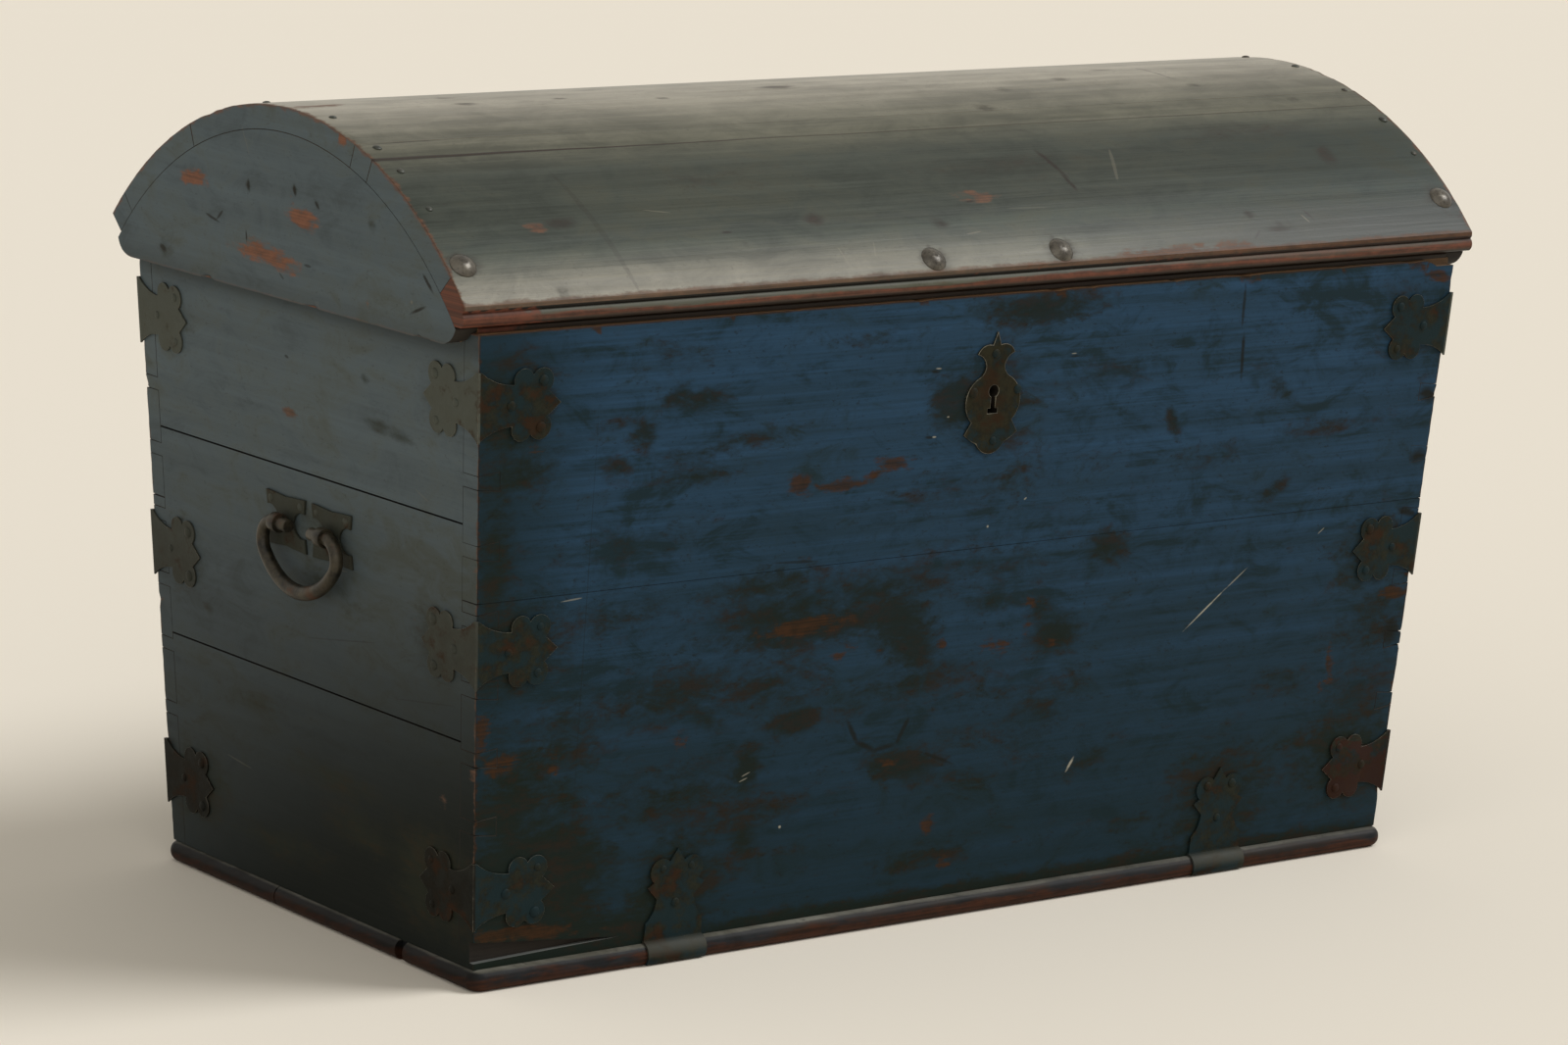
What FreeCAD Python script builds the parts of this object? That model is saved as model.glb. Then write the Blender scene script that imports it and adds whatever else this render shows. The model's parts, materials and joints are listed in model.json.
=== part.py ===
import FreeCAD, Part
import math
import os

from FreeCAD import Vector

# Carcass of boards, narrower at the foot than at the rim on all four sides
body_top_width = 1100.0
body_top_depth = 554.0
body_height = 552.0
body_side_taper = 31.5
body_front_taper = 28.5
board = 22.0
body_set_forward = 6.0
front_upper_board_height = 230.0
end_top_board_height = 164.5
end_middle_board_height = 189.5
front_seam_gap = 0.4
end_seam_gap = 1.6

# Dovetails: the ends carry pins, the front and the back carry tails
pin_first_height = 66.0
pin_pitch = 60.0
pin_tip_height = 12.0
pin_root_height = 17.0

# Old losses on the front: a splinter at the foot and a chip at the rim
splinter_length = 150.0
splinter_height = 21.0
splinter_lift = 5.0
splinter_depth = 6.0
chip_length = 46.0
chip_height = 6.0
chip_depth = 9.0

# Floor boards under the carcass, with a round nose all round
floor_thickness = 19.0
floor_front_overhang = 9.0
floor_side_overhang = 5.0
floor_back_overhang = 5.0
floor_front_board_depth = 112.0
floor_rear_board_depth = 190.0
floor_joint_gap = 1.5
floor_corner_round = 13.0
floor_round_share = 0.47
floor_notch_length = 16.0
floor_notch_width = 22.0

# Domed lid of staves on two end boards and two rails
lid_side_overhang = 18.0
lid_end_thickness = 22.0
lid_lap = 11.0
lid_fit_gap = 1.0
lid_end_inset = 1.0
lid_end_round = 24.0
dome_rise = 155.0
dome_overhang = 28.72
stave_thickness = 22.0
stave_seat_gap = 0.2
stave_gap = 0.2
nose_overhang = 9.0
nose_bottom = 6.5
nose_lip = 3.5
nose_quirk = 3.0
nose_quirk_depth = 2.6
nose_undercut = 4.0
front_rail_recess = 8.0
rail_depth = 32.0

# Large domed rivets along the lid's front
rivet_head_radius = 12.5
rivet_head_rise = 5.5
rivet_shank_radius = 3.0
rivet_shank_length = 18.0
rivet_hasp_spread = 72.0
rivet_end_inset = 17.0

# Where staves meet and rivets sit, as shares of the dome's turn from crown to nose
moulding_joint_share = 0.908
front_stave_share = 0.449
ridge_strip_share = 0.359
back_stave_share = 0.49
rivet_hasp_share = 0.959
rivet_end_share = 0.874

# Wrought corner straps, foot straps and lock plate
strap_thickness = 2.0
strap_reach = 81.0
strap_half_height = 30.0
strap_low_height = 65.0
strap_high_drop = 62.0
foot_strap_end_inset = 206.5
foot_strap_half_width = 31.0
foot_strap_height = 83.0
foot_strap_lift = 1.5
escutcheon_thickness = 2.0
escutcheon_half_width = 31.0
escutcheon_height = 111.0
escutcheon_drop = 33.0

# Chest lock behind the lock plate
keyhole_drop = 87.0
keyhole_radius = 5.5
keyhole_slot_width = 5.0
keyhole_slot_length = 20.0
keyhole_foot_width = 11.0
keyhole_foot_height = 4.5
keyhole_ease = 1.0
lock_width = 160.0
lock_height = 128.0
lock_depth = 20.0
lock_wall = 2.0
lock_drop = 3.0
lock_pin_radius = 2.5
lock_pin_length = 15.0
bolt_length = 70.0
bolt_thickness = 7.0
bolt_height = 7.0
bolt_drop = 12.0
bolt_setback = 6.5
bolt_tip_gap = 3.0
bolt_clearance = 0.3
bolt_tail_width = 12.0
bolt_tail_length = 60.0
bolt_tail_thickness = 3.0
bolt_tail_offset = 20.0
guide_width = 8.0
guide_margin = 4.0
guide_pitch = 23.0
hasp_half_length = 86.0
hasp_plate_depth = 18.0
hasp_plate_thickness = 3.0
staple_width = 6.0
staple_depth = 15.0
staple_drop = 22.0
staple_wall = 3.0
staple_setback = 3.0
staple_eye_drop = 6.0
staple_slot_gap = 1.5

# Back hinges
hinge_end_inset = 170.0
hinge_width = 72.0
hinge_leaf_thickness = 2.5
hinge_leaf_drop = 95.0
hinge_lid_leaf_height = 32.0
knuckle_radius = 5.5
knuckle_length = 19.0
knuckle_gap = 0.3
knuckle_clearance = 0.4
hinge_pin_radius = 2.75
hinge_pin_clearance = 0.05
hinge_pin_head = 1.5

# Handle at each end: two butterfly plates, two eyes and a bail
handle_drop = 213.0
handle_forward = 6.0
handle_plate_thickness = 2.5
handle_plate_half_width = 32.0
handle_plate_half_height = 24.0
bail_bow_radius = 72.0
bail_drop = 55.0
bail_corner_radius = 17.0
bail_bar_radius = 5.8
bail_middle_radius = 6.8
bail_tip_length = 14.0
bail_clearance = 0.08
eye_wall = 2.6
eye_thickness = 10.0
eye_play = 1.0
eye_standoff = 11.2
eye_shank_radius = 4.0
eye_shank_clearance = 0.05

# Cuts run past what they cut by this much
overrun = 40.0

# Outlines as shares of the sizes they follow, one half each, two points a line and three an arc
strap_outline_shares = [
    [(-0.10, 1.00), (0.00, 1.00)],
    [(0.00, 1.00), (0.20, 0.69), (0.41, 0.59)],
    [(0.41, 0.59), (0.50, 1.02), (0.64, 0.84)],
    [(0.64, 0.84), (0.84, 0.94), (0.84, 0.36)],
    [(0.84, 0.36), (1.00, 0.00)],
]
foot_strap_outline_shares = [
    [(1.00, -0.05), (0.96, 0.22)],
    [(0.96, 0.22), (0.72, 0.34), (0.64, 0.47)],
    [(0.64, 0.47), (0.97, 0.60)],
    [(0.97, 0.60), (0.75, 0.65)],
    [(0.75, 0.65), (0.72, 0.88), (0.25, 0.86)],
    [(0.25, 0.86), (0.00, 1.00)],
]
escutcheon_outline_shares = [
    [(0.00, 0.00), (0.15, 0.11)],
    [(0.15, 0.11), (0.46, 0.115), (0.68, 0.18)],
    [(0.68, 0.18), (0.41, 0.23), (0.34, 0.285)],
    [(0.34, 0.285), (0.42, 0.34), (0.58, 0.375)],
    [(0.58, 0.375), (0.99, 0.54), (0.74, 0.73)],
    [(0.74, 0.73), (0.97, 0.83)],
    [(0.97, 0.83), (0.72, 0.88), (0.50, 0.91)],
    [(0.50, 0.91), (0.29, 0.975), (0.00, 1.00)],
]
handle_plate_outline_shares = [
    [(0.00, 0.92), (0.50, 0.97), (1.00, 1.00)],
    [(1.00, 1.00), (0.94, 0.46)],
    [(0.94, 0.46), (0.52, 0.34), (0.36, 0.00)],
]

# Places that follow from the sizes above
rim = floor_thickness + body_height
lid_width = body_top_width + 2 * lid_side_overhang
lid_end_reach = body_top_depth / 2 - lid_end_inset
dome_half_chord = body_top_depth / 2 + dome_overhang
dome_radius = (dome_half_chord ** 2 + dome_rise ** 2) / (2 * dome_rise)
dome_centre = rim + dome_rise - dome_radius
nose_reach = body_top_depth / 2 + nose_overhang
nose_angle = math.degrees(math.asin(nose_reach / dome_radius))
moulding_joint_angle = nose_angle * moulding_joint_share
front_stave_angle = nose_angle * front_stave_share
ridge_strip_angle = nose_angle * ridge_strip_share
back_stave_angle = nose_angle * back_stave_share
stave_inner_radius = dome_radius - stave_thickness
seat_radius = stave_inner_radius - stave_seat_gap
floor_round = floor_thickness * floor_round_share
handle_height = rim - handle_drop
handle_y = -body_set_forward - handle_forward
hinge_spread = body_top_width / 2 - hinge_end_inset
foot_strap_spread = body_top_width / 2 - body_side_taper - foot_strap_end_inset


def box(x_low, x_high, y_low, y_high, z_low, z_high):
    corner = Vector(x_low, y_low, z_low)
    return Part.makeBox(x_high - x_low, y_high - y_low, z_high - z_low, corner)


def rod(radius, x_low, x_high, y, z):
    return Part.makeCylinder(radius, x_high - x_low, Vector(x_low, y, z), Vector(1, 0, 0))


def edge(points):
    if len(points) == 2:
        return Part.makeLine(*points)
    return Part.Arc(*points).toShape()


def prism(edges, direction):
    return Part.Face(Part.Wire(edges)).extrude(direction)


def fused(solids):
    return solids[0].multiFuse(solids[1:]).removeSplitter()


def half_width(z):
    share = (rim - z) / body_height
    return body_top_width / 2 - body_side_taper * share


def half_depth(z):
    share = (rim - z) / body_height
    return body_top_depth / 2 - body_front_taper * share


def front_face(z):
    return -half_depth(z) - body_set_forward


def back_face(z):
    return half_depth(z) - body_set_forward


def tapered_block(front, back, left, right, reach=0):
    # The carcass as one block, each side moved out by its own amount
    low = floor_thickness - reach
    high = rim + reach
    block = Part.makeWedge(
        -half_width(low) - left, low, -half_depth(low) - back, -half_depth(high) - back,
        -half_width(high) - left,
        half_width(low) + right, high, half_depth(low) + front, half_depth(high) + front,
        half_width(high) + right)
    block.rotate(Vector(0, 0, 0), Vector(1, 0, 0), 90)
    block.translate(Vector(0, -body_set_forward, 0))
    return block


def side_layer(side, start, end, wrap=0):
    # What lies between a side moved out by start and by end, and round the corners by wrap
    sides = ("front", "back", "left", "right")
    outer = [end if name == side else wrap for name in sides]
    inner = [start if name == side else overrun for name in sides]
    return tapered_block(*outer).cut(tapered_block(*inner, reach=overrun))


def x_side_name(x_side):
    return "left" if x_side < 0 else "right"


def y_side_name(y_side):
    return "front" if y_side < 0 else "back"


def mirrored_outline(half_shares, place):
    edges = [edge([place(u, v) for u, v in points]) for points in half_shares]
    for points in reversed(half_shares):
        edges.append(edge([place(u, -v) for u, v in reversed(points)]))
    first_u, first_v = half_shares[0][0]
    if first_v != 0:
        edges.append(edge([place(first_u, -first_v), place(first_u, first_v)]))
    return edges


def side_mirrored_outline(half_shares, place):
    swapped = [[(v, u) for u, v in points] for points in half_shares]
    return mirrored_outline(swapped, lambda v, u: place(u, v))


# Carcass


def pin_bars(x_side):
    # Dovetail pins, run through the whole depth at one end
    bars = []
    count = int((body_height - pin_first_height - pin_pitch / 2) // pin_pitch) + 1
    for index in range(count):
        z = floor_thickness + pin_first_height + index * pin_pitch
        outside = half_width(z)
        inside = outside - board
        slope = (pin_root_height - pin_tip_height) / board
        tip = (pin_tip_height - slope * board) / 2
        root = (pin_root_height + slope * board) / 2
        corners = [
            Vector(x_side * (outside + board), -body_top_depth, z - tip),
            Vector(x_side * (inside - board), -body_top_depth, z - root),
            Vector(x_side * (inside - board), -body_top_depth, z + root),
            Vector(x_side * (outside + board), -body_top_depth, z + tip),
        ]
        edges = [edge([corners[i - 1], corners[i]]) for i in range(len(corners))]
        bars.append(prism(edges, Vector(0, 2 * body_top_depth, 0)))
    return Part.makeCompound(bars)


def carcass_sides():
    slabs = {name: side_layer(name, -board, 0) for name in ("front", "back", "left", "right")}
    pins = [slabs[x_side_name(x_side)].common(pin_bars(x_side)) for x_side in (-1, 1)]
    for name in ("front", "back"):
        slabs[name] = slabs[name].cut(pins)
    for name in ("left", "right"):
        slabs[name] = slabs[name].cut([slabs["front"], slabs["back"]])
    return slabs


def course(slab, low, high):
    return slab.common(box(-lid_width, lid_width, -lid_width, lid_width, low, high))


def courses(slab, heights, gap):
    # Cuts a side into its boards, from the rim down, with a shrinkage gap at each seam
    boards = []
    top = rim + overrun
    seam = rim
    for height in heights:
        seam = seam - height
        boards.append(course(slab, seam + gap / 2, top))
        top = seam - gap / 2
    boards.append(course(slab, floor_thickness - overrun, top))
    return boards


def splinter():
    low = floor_thickness + splinter_lift
    left = -half_width(floor_thickness)
    y = front_face(floor_thickness) - overrun
    corners = [
        Vector(left - splinter_height, y, low),
        Vector(left + splinter_length, y, low + splinter_lift),
        Vector(left - splinter_height, y, low + splinter_height),
    ]
    edges = [edge([corners[i - 1], corners[i]]) for i in range(len(corners))]
    wedge = prism(edges, Vector(0, 2 * overrun, 0))
    return wedge.common(side_layer("front", -splinter_depth, 0))


def rim_chip():
    right = half_width(rim)
    corners = [
        Vector(right - chip_length, front_face(rim), rim + chip_height),
        Vector(right + chip_height, front_face(rim), rim + chip_height),
        Vector(right + chip_height, front_face(rim), rim - chip_height),
        Vector(right - chip_length / 2, front_face(rim), rim - chip_height),
    ]
    edges = [edge([corners[i - 1], corners[i]]) for i in range(len(corners))]
    wedge = prism(edges, Vector(0, 2 * chip_depth, 0))
    wedge.translate(Vector(0, -chip_depth, 0))
    return wedge


def keyhole(ease):
    # Round top, narrow slot and flared foot, cut right through the front
    centre = rim - keyhole_drop
    foot = centre - keyhole_slot_length
    near = front_face(floor_thickness) - 2 * overrun
    far = near + 4 * overrun
    half_slot = keyhole_slot_width / 2 + ease
    half_foot = keyhole_foot_width / 2 + ease
    bore = Part.makeCylinder(keyhole_radius + ease, far - near, Vector(0, near, centre), Vector(0, 1, 0))
    slot = box(-half_slot, half_slot, near, far, foot, centre)
    flare = box(-half_foot, half_foot, near, far, foot - ease, foot + keyhole_foot_height + ease)
    return fused([bore, slot, flare])


def eye_places():
    # Both eyes of both handles, as the end, the eye and its y
    places = []
    for x_side in (-1, 1):
        for y_side in (-1, 1):
            places.append((x_side, y_side, handle_y + y_side * eye_offset()))
    return places


def end_boards(slab, x_side):
    for place_side, y_side, y in eye_places():
        if place_side == x_side:
            slab = slab.cut(eye_shank(x_side, y, eye_shank_clearance))
    return courses(slab, (end_top_board_height, end_middle_board_height), end_seam_gap)


def carcass_nodes():
    slabs = carcass_sides()
    front = courses(slabs["front"], (front_upper_board_height,), front_seam_gap)
    back = courses(slabs["back"], (front_upper_board_height,), front_seam_gap)
    nodes = {
        "front_board_upper": front[0].cut([keyhole(keyhole_ease), rim_chip()]),
        "front_board_lower": front[1].cut(splinter()),
        "back_board_upper": back[0],
        "back_board_lower": back[1],
    }
    for x_side in (-1, 1):
        name = x_side_name(x_side)
        names = [name + "_end_board_" + part for part in ("top", "middle", "bottom")]
        nodes.update(zip(names, end_boards(slabs[name], x_side)))
    return nodes


# Floor


def floor_panel(grow):
    half_x = half_width(floor_thickness) + floor_side_overhang + grow
    front = front_face(floor_thickness) - floor_front_overhang - grow
    back = back_face(floor_thickness) + floor_back_overhang + grow
    panel = box(-half_x, half_x, front, back, -grow, floor_thickness + grow)
    upright = [e for e in panel.Edges if abs(e.tangentAt(e.FirstParameter).z) > 0.5]
    panel = panel.makeFillet(floor_corner_round + grow, upright)
    level = [e for e in panel.Edges if abs(e.Vertexes[0].Z - e.Vertexes[-1].Z) < floor_round]
    return panel.makeFillet(floor_round + grow, level)


def floor_notch(y):
    left = -half_width(floor_thickness) - floor_side_overhang
    return Part.makeCylinder(floor_notch_width / 2, floor_thickness, Vector(left, y, 0)).fuse(
        box(left - overrun, left + floor_notch_length / 2, y, y + floor_notch_width / 2, 0, floor_thickness))


def floor_nodes():
    panel = floor_panel(0)
    front = front_face(floor_thickness) - floor_front_overhang
    back = back_face(floor_thickness) + floor_back_overhang
    first = front + floor_front_board_depth
    second = back - floor_rear_board_depth
    spans = {
        "floor_board_front": (front - overrun, first - floor_joint_gap / 2),
        "floor_board_middle": (first + floor_joint_gap / 2, second - floor_joint_gap / 2),
        "floor_board_rear": (second + floor_joint_gap / 2, back + overrun),
    }
    nodes = {}
    for name, (y_low, y_high) in spans.items():
        strip = box(-lid_width, lid_width, y_low, y_high, -overrun, 2 * overrun)
        nodes[name] = panel.common(strip)
    nodes["floor_board_middle"] = nodes["floor_board_middle"].cut(floor_notch(first))
    return nodes


# Ironwork on the carcass


def corner_strap(x_side, y_side, z):
    def on_front(u, v):
        x = x_side * (half_width(z) - u * strap_reach)
        return Vector(x, y_side * body_top_depth - body_set_forward, z + v * strap_half_height)

    def on_end(u, v):
        y = y_side * (half_depth(z) - u * strap_reach) - body_set_forward
        return Vector(x_side * body_top_width, y, z + v * strap_half_height)

    front = prism(mirrored_outline(strap_outline_shares, on_front), Vector(0, -y_side * body_top_depth, 0))
    end = prism(mirrored_outline(strap_outline_shares, on_end), Vector(-x_side * body_top_width, 0, 0))
    front = front.common(side_layer(y_side_name(y_side), 0, strap_thickness, strap_thickness))
    end = end.common(side_layer(x_side_name(x_side), 0, strap_thickness, strap_thickness))
    return fused([front, end])


def corner_strap_nodes():
    low = floor_thickness + strap_low_height
    high = rim - strap_high_drop
    heights = {"bottom": low, "middle": (low + high) / 2, "top": high}
    nodes = {}
    for y_side in (-1, 1):
        for x_side in (-1, 1):
            for level, z in heights.items():
                name = "_".join(("corner_strap", y_side_name(y_side), x_side_name(x_side), level))
                nodes[name] = corner_strap(x_side, y_side, z)
    return nodes


def foot_strap(x_side):
    # A leaf on the front whose foot wraps over the nose of the floor
    x = x_side * foot_strap_spread

    def on_front(u, v):
        return Vector(x + u * foot_strap_half_width, -body_top_depth, floor_thickness + v * foot_strap_height)

    leaf = prism(side_mirrored_outline(foot_strap_outline_shares, on_front), Vector(0, body_top_depth, 0))
    leaf = leaf.common(side_layer("front", 0, strap_thickness))
    front = front_face(floor_thickness)
    zone = box(x - foot_strap_half_width, x + foot_strap_half_width, front - overrun, front + board / 2,
               foot_strap_lift, floor_thickness + overrun)
    wrap = floor_panel(strap_thickness).common(zone)
    wrap = wrap.cut([floor_panel(0), tapered_block(0, 0, 0, 0)])
    return fused([leaf, wrap])


def escutcheon():
    top = rim - escutcheon_drop

    def on_front(u, v):
        return Vector(u * escutcheon_half_width, -body_top_depth, top - v * escutcheon_height)

    plate = prism(side_mirrored_outline(escutcheon_outline_shares, on_front), Vector(0, body_top_depth, 0))
    plate = plate.common(side_layer("front", 0, escutcheon_thickness))
    return plate.cut(keyhole(0))


# Lock


def behind_front(x_low, x_high, z_low, z_high, near, far):
    # A block behind the front board, its depth counted from the board's inner face
    zone = box(x_low, x_high, -body_top_depth, 0, rim + z_low, rim + z_high)
    return zone.common(side_layer("front", -board - far, -board - near))


def bolt_left():
    return -staple_width / 2 - bolt_tip_gap - bolt_length


def bolt_bar(ease):
    left = bolt_left()
    low = -bolt_drop - bolt_height / 2
    return behind_front(left - ease, left + bolt_length + ease, low - ease, low + bolt_height + ease,
                        bolt_setback - ease, bolt_setback + bolt_thickness + ease)


def lock_case():
    half = lock_width / 2
    low = -lock_drop - lock_height
    case = behind_front(-half, half, low, -lock_drop, 0, lock_depth)
    hollow = behind_front(-half + lock_wall, half - lock_wall, low + lock_wall, -lock_drop - lock_wall,
                          0, lock_depth - lock_wall)
    case = case.cut(hollow)
    slot_half = staple_width / 2 + staple_slot_gap
    slot = behind_front(-slot_half, slot_half, -lock_drop - 2 * lock_wall, 0,
                        0, lock_depth - lock_wall)
    solids = [case.cut(slot)]
    for index in (0, 1):
        left = bolt_left() + guide_margin + index * guide_pitch
        block = behind_front(left, left + guide_width, -bolt_drop - bolt_height / 2 - guide_margin,
                             -bolt_drop + bolt_height / 2 + guide_margin,
                             bolt_setback - guide_margin, lock_depth - lock_wall)
        solids.append(block.cut(bolt_bar(bolt_clearance)))
    pin_z = rim - keyhole_drop
    pin_y = front_face(pin_z) + board + lock_depth - lock_wall / 2
    key_pin = Part.makeCylinder(lock_pin_radius, lock_pin_length, Vector(0, pin_y, pin_z), Vector(0, -1, 0))
    solids.append(key_pin)
    return fused(solids)


def lock_bolt():
    # A bar with a tail for the key to push
    right = -bolt_tail_offset
    middle = bolt_setback + bolt_thickness / 2
    tail = behind_front(right - bolt_tail_width, right, -bolt_drop - bolt_tail_length, -bolt_drop,
                        middle - bolt_tail_thickness / 2, middle + bolt_tail_thickness / 2)
    return fused([bolt_bar(0), tail])


# Lid


def dome_point(radius, angle, x=0):
    turn = math.radians(angle)
    return Vector(x, radius * math.sin(turn), dome_centre + radius * math.cos(turn))


def dome_core(radius):
    return rod(radius, -lid_width, lid_width, 0, dome_centre)


def gap_angle():
    return math.degrees(stave_gap / 2 / dome_radius)


def stave(start, end):
    left = -lid_width / 2
    first = start + gap_angle()
    last = end - gap_angle()
    middle = (first + last) / 2
    outer = [dome_point(dome_radius, angle, left) for angle in (first, middle, last)]
    inner = [dome_point(stave_inner_radius, angle, left) for angle in (last, middle, first)]
    edges = [edge(outer), edge([outer[-1], inner[0]]), edge(inner), edge([inner[-1], outer[0]])]
    return prism(edges, Vector(lid_width, 0, 0))


def front_moulding():
    # The lowest front stave: dome on top, then a quirk and a bead on its nose
    left = -lid_width / 2
    joint = -moulding_joint_angle - gap_angle()
    lip = dome_point(dome_radius, -nose_angle, left)
    quirk_top = Vector(left, -nose_reach, lip.z - nose_lip)
    quirk_foot = Vector(left, -nose_reach + nose_quirk_depth, lip.z - nose_lip - nose_quirk)
    low = rim + nose_bottom
    bead_middle = Vector(left, -nose_reach, (quirk_foot.z + low) / 2)
    bead_foot = Vector(left, -nose_reach + nose_undercut, low)
    inner_y = math.sqrt(stave_inner_radius ** 2 - (low - dome_centre) ** 2)
    inner_angle = -math.degrees(math.asin(inner_y / stave_inner_radius))
    heel = dome_point(stave_inner_radius, inner_angle, left)
    outer = [dome_point(dome_radius, angle, left)
             for angle in (joint, (joint - nose_angle) / 2, -nose_angle)]
    inner = [dome_point(stave_inner_radius, angle, left)
             for angle in (inner_angle, (inner_angle + joint) / 2, joint)]
    edges = [
        edge(outer),
        edge([outer[-1], quirk_top]),
        edge([quirk_top, quirk_foot]),
        edge([quirk_foot, bead_middle, bead_foot]),
        edge([bead_foot, heel]),
        edge(inner),
        edge([inner[-1], outer[0]]),
    ]
    return prism(edges, Vector(lid_width, 0, 0))


def lid_end(x_side):
    # Lower corners rounded, top cut to the staves, foot rebated to lap over the carcass
    outside = lid_width / 2
    inside = outside - lid_end_thickness
    plate = box(inside, outside, -lid_end_reach, lid_end_reach, rim - lid_lap, rim + dome_rise)
    foot = [e for e in plate.Edges if e.CenterOfMass.z < rim and abs(e.tangentAt(e.FirstParameter).x) > 0.5]
    plate = plate.makeFillet(lid_end_round, foot).common(dome_core(seat_radius))
    lap_face = body_top_width / 2 + lid_fit_gap
    plate = plate.cut(box(inside - overrun, lap_face, -lid_width, lid_width, rim - overrun, rim))
    return plate if x_side > 0 else plate.mirror(Vector(0, 0, 0), Vector(1, 0, 0))


def rail_half_length():
    return lid_width / 2 - lid_end_thickness


def rail(y_low, y_high):
    half = rail_half_length()
    return box(-half, half, y_low, y_high, rim, rim + dome_rise).common(dome_core(seat_radius))


def front_rail():
    face = front_face(rim) + front_rail_recess
    return rail(face, face + rail_depth).cut(hasp_plate())


def back_rail():
    face = back_face(rim)
    leaves = [lid_leaf_foot(x_side) for x_side in (-1, 1)]
    return rail(face - rail_depth, face).cut(leaves)


def hasp_plate():
    near = front_face(rim) + front_rail_recess + rail_depth - hasp_plate_depth
    return box(-hasp_half_length, hasp_half_length, near, near + hasp_plate_depth,
               rim, rim + hasp_plate_thickness)


def hasp():
    # A plate let into the rail, with a staple that drops into the lock
    near = front_face(rim) + board + staple_setback
    far = near + staple_depth
    half = staple_width / 2
    loop = box(-half, half, near, far, rim - staple_drop, rim + hasp_plate_thickness)
    eye = box(-staple_width, staple_width, near + staple_wall, far - staple_wall,
              rim - staple_drop + staple_wall + bolt_clearance, rim - staple_eye_drop)
    return fused([hasp_plate(), loop.cut(eye)])


def rivet():
    # Domed head on its flat seat, with the shank below
    sphere_radius = (rivet_head_radius ** 2 + rivet_head_rise ** 2) / (2 * rivet_head_rise)
    ball = Part.makeSphere(sphere_radius, Vector(0, 0, rivet_head_rise - sphere_radius))
    half = 2 * rivet_head_radius
    cap = ball.common(box(-half, half, -half, half, 0, half))
    return cap.fuse(rivet_shank(0)).removeSplitter()


def rivet_shank(clearance):
    length = rivet_shank_length + clearance
    return Part.makeCylinder(rivet_shank_radius + clearance, length, Vector(0, 0, -length), Vector(0, 0, 1))


def rivet_places():
    places = []
    for x_side in (-1, 1):
        places.append((x_side * rivet_hasp_spread, -nose_angle * rivet_hasp_share))
        places.append((x_side * (lid_width / 2 - rivet_end_inset), -nose_angle * rivet_end_share))
    return places


def on_dome(shape, x, angle):
    placed = shape.copy()
    placed.rotate(Vector(0, 0, 0), Vector(1, 0, 0), -angle)
    placed.translate(dome_point(dome_radius, angle, x))
    return placed


def rivet_holes():
    return [on_dome(rivet_shank(hinge_pin_clearance), x, angle) for x, angle in rivet_places()]


def lid_nodes():
    holes = rivet_holes()
    return {
        "lid_end_left": lid_end(-1).cut(holes),
        "lid_end_right": lid_end(1).cut(holes),
        "lid_front_rail": front_rail().cut(holes),
        "lid_back_rail": back_rail(),
        "lid_front_moulding": front_moulding().cut(holes),
        "lid_front_stave": stave(-moulding_joint_angle, -front_stave_angle).cut(holes),
        "lid_ridge_strip": stave(-front_stave_angle, -ridge_strip_angle),
        "lid_top_stave": stave(-ridge_strip_angle, back_stave_angle),
        "lid_back_stave": stave(back_stave_angle, moulding_joint_angle),
        "lid_back_moulding": stave(moulding_joint_angle, nose_angle),
        "lid_hasp": hasp(),
        "lid_rivets": Part.makeCompound([on_dome(rivet(), x, angle) for x, angle in rivet_places()]),
    }


# Hinges


def hinge_y():
    return back_face(rim) + knuckle_radius + knuckle_gap


def hinge_zone(x_side):
    middle = x_side * hinge_spread
    return middle - hinge_width / 2, middle + hinge_width / 2


def lid_knuckle_zone(x_side, gap):
    low, high = hinge_zone(x_side)
    return low + knuckle_length + gap, high - knuckle_length - gap


def lid_leaf_foot(x_side):
    low, high = hinge_zone(x_side)
    face = back_face(rim)
    return box(low, high, face - rail_depth, face, rim, rim + hinge_leaf_thickness)


def hinge_lid_leaf(x_side):
    # An angle under and behind the rail, with one knuckle outside
    low, high = hinge_zone(x_side)
    inner_face = back_face(rim) - rail_depth
    upright = box(low, high, inner_face - hinge_leaf_thickness, inner_face,
                  rim, rim + hinge_lid_leaf_height)
    first, last = lid_knuckle_zone(x_side, knuckle_gap)
    tongue = box(first, last, back_face(rim), hinge_y(), rim, rim + hinge_leaf_thickness)
    barrel = rod(knuckle_radius, first, last, hinge_y(), rim)
    leaf = fused([lid_leaf_foot(x_side), upright, tongue, barrel])
    return leaf.cut(hinge_bore(x_side))


def hinge_bore(x_side):
    low, high = hinge_zone(x_side)
    return rod(hinge_pin_radius + hinge_pin_clearance, low - overrun, high + overrun, hinge_y(), rim)


def hinge_body_leaf(x_side):
    # A leaf on the back of the carcass, with a knuckle at each side
    low, high = hinge_zone(x_side)
    zone = box(low, high, 0, body_top_depth, rim - hinge_leaf_drop, rim)
    leaf = side_layer("back", 0, hinge_leaf_thickness).common(zone)
    first, last = lid_knuckle_zone(x_side, 0)
    leaf = leaf.cut(rod(knuckle_radius + knuckle_clearance, first, last, hinge_y(), rim))
    solids = [leaf]
    for start in (low, last):
        solids.append(rod(knuckle_radius, start, start + knuckle_length, hinge_y(), rim))
    return fused(solids).cut(hinge_bore(x_side))


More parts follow.
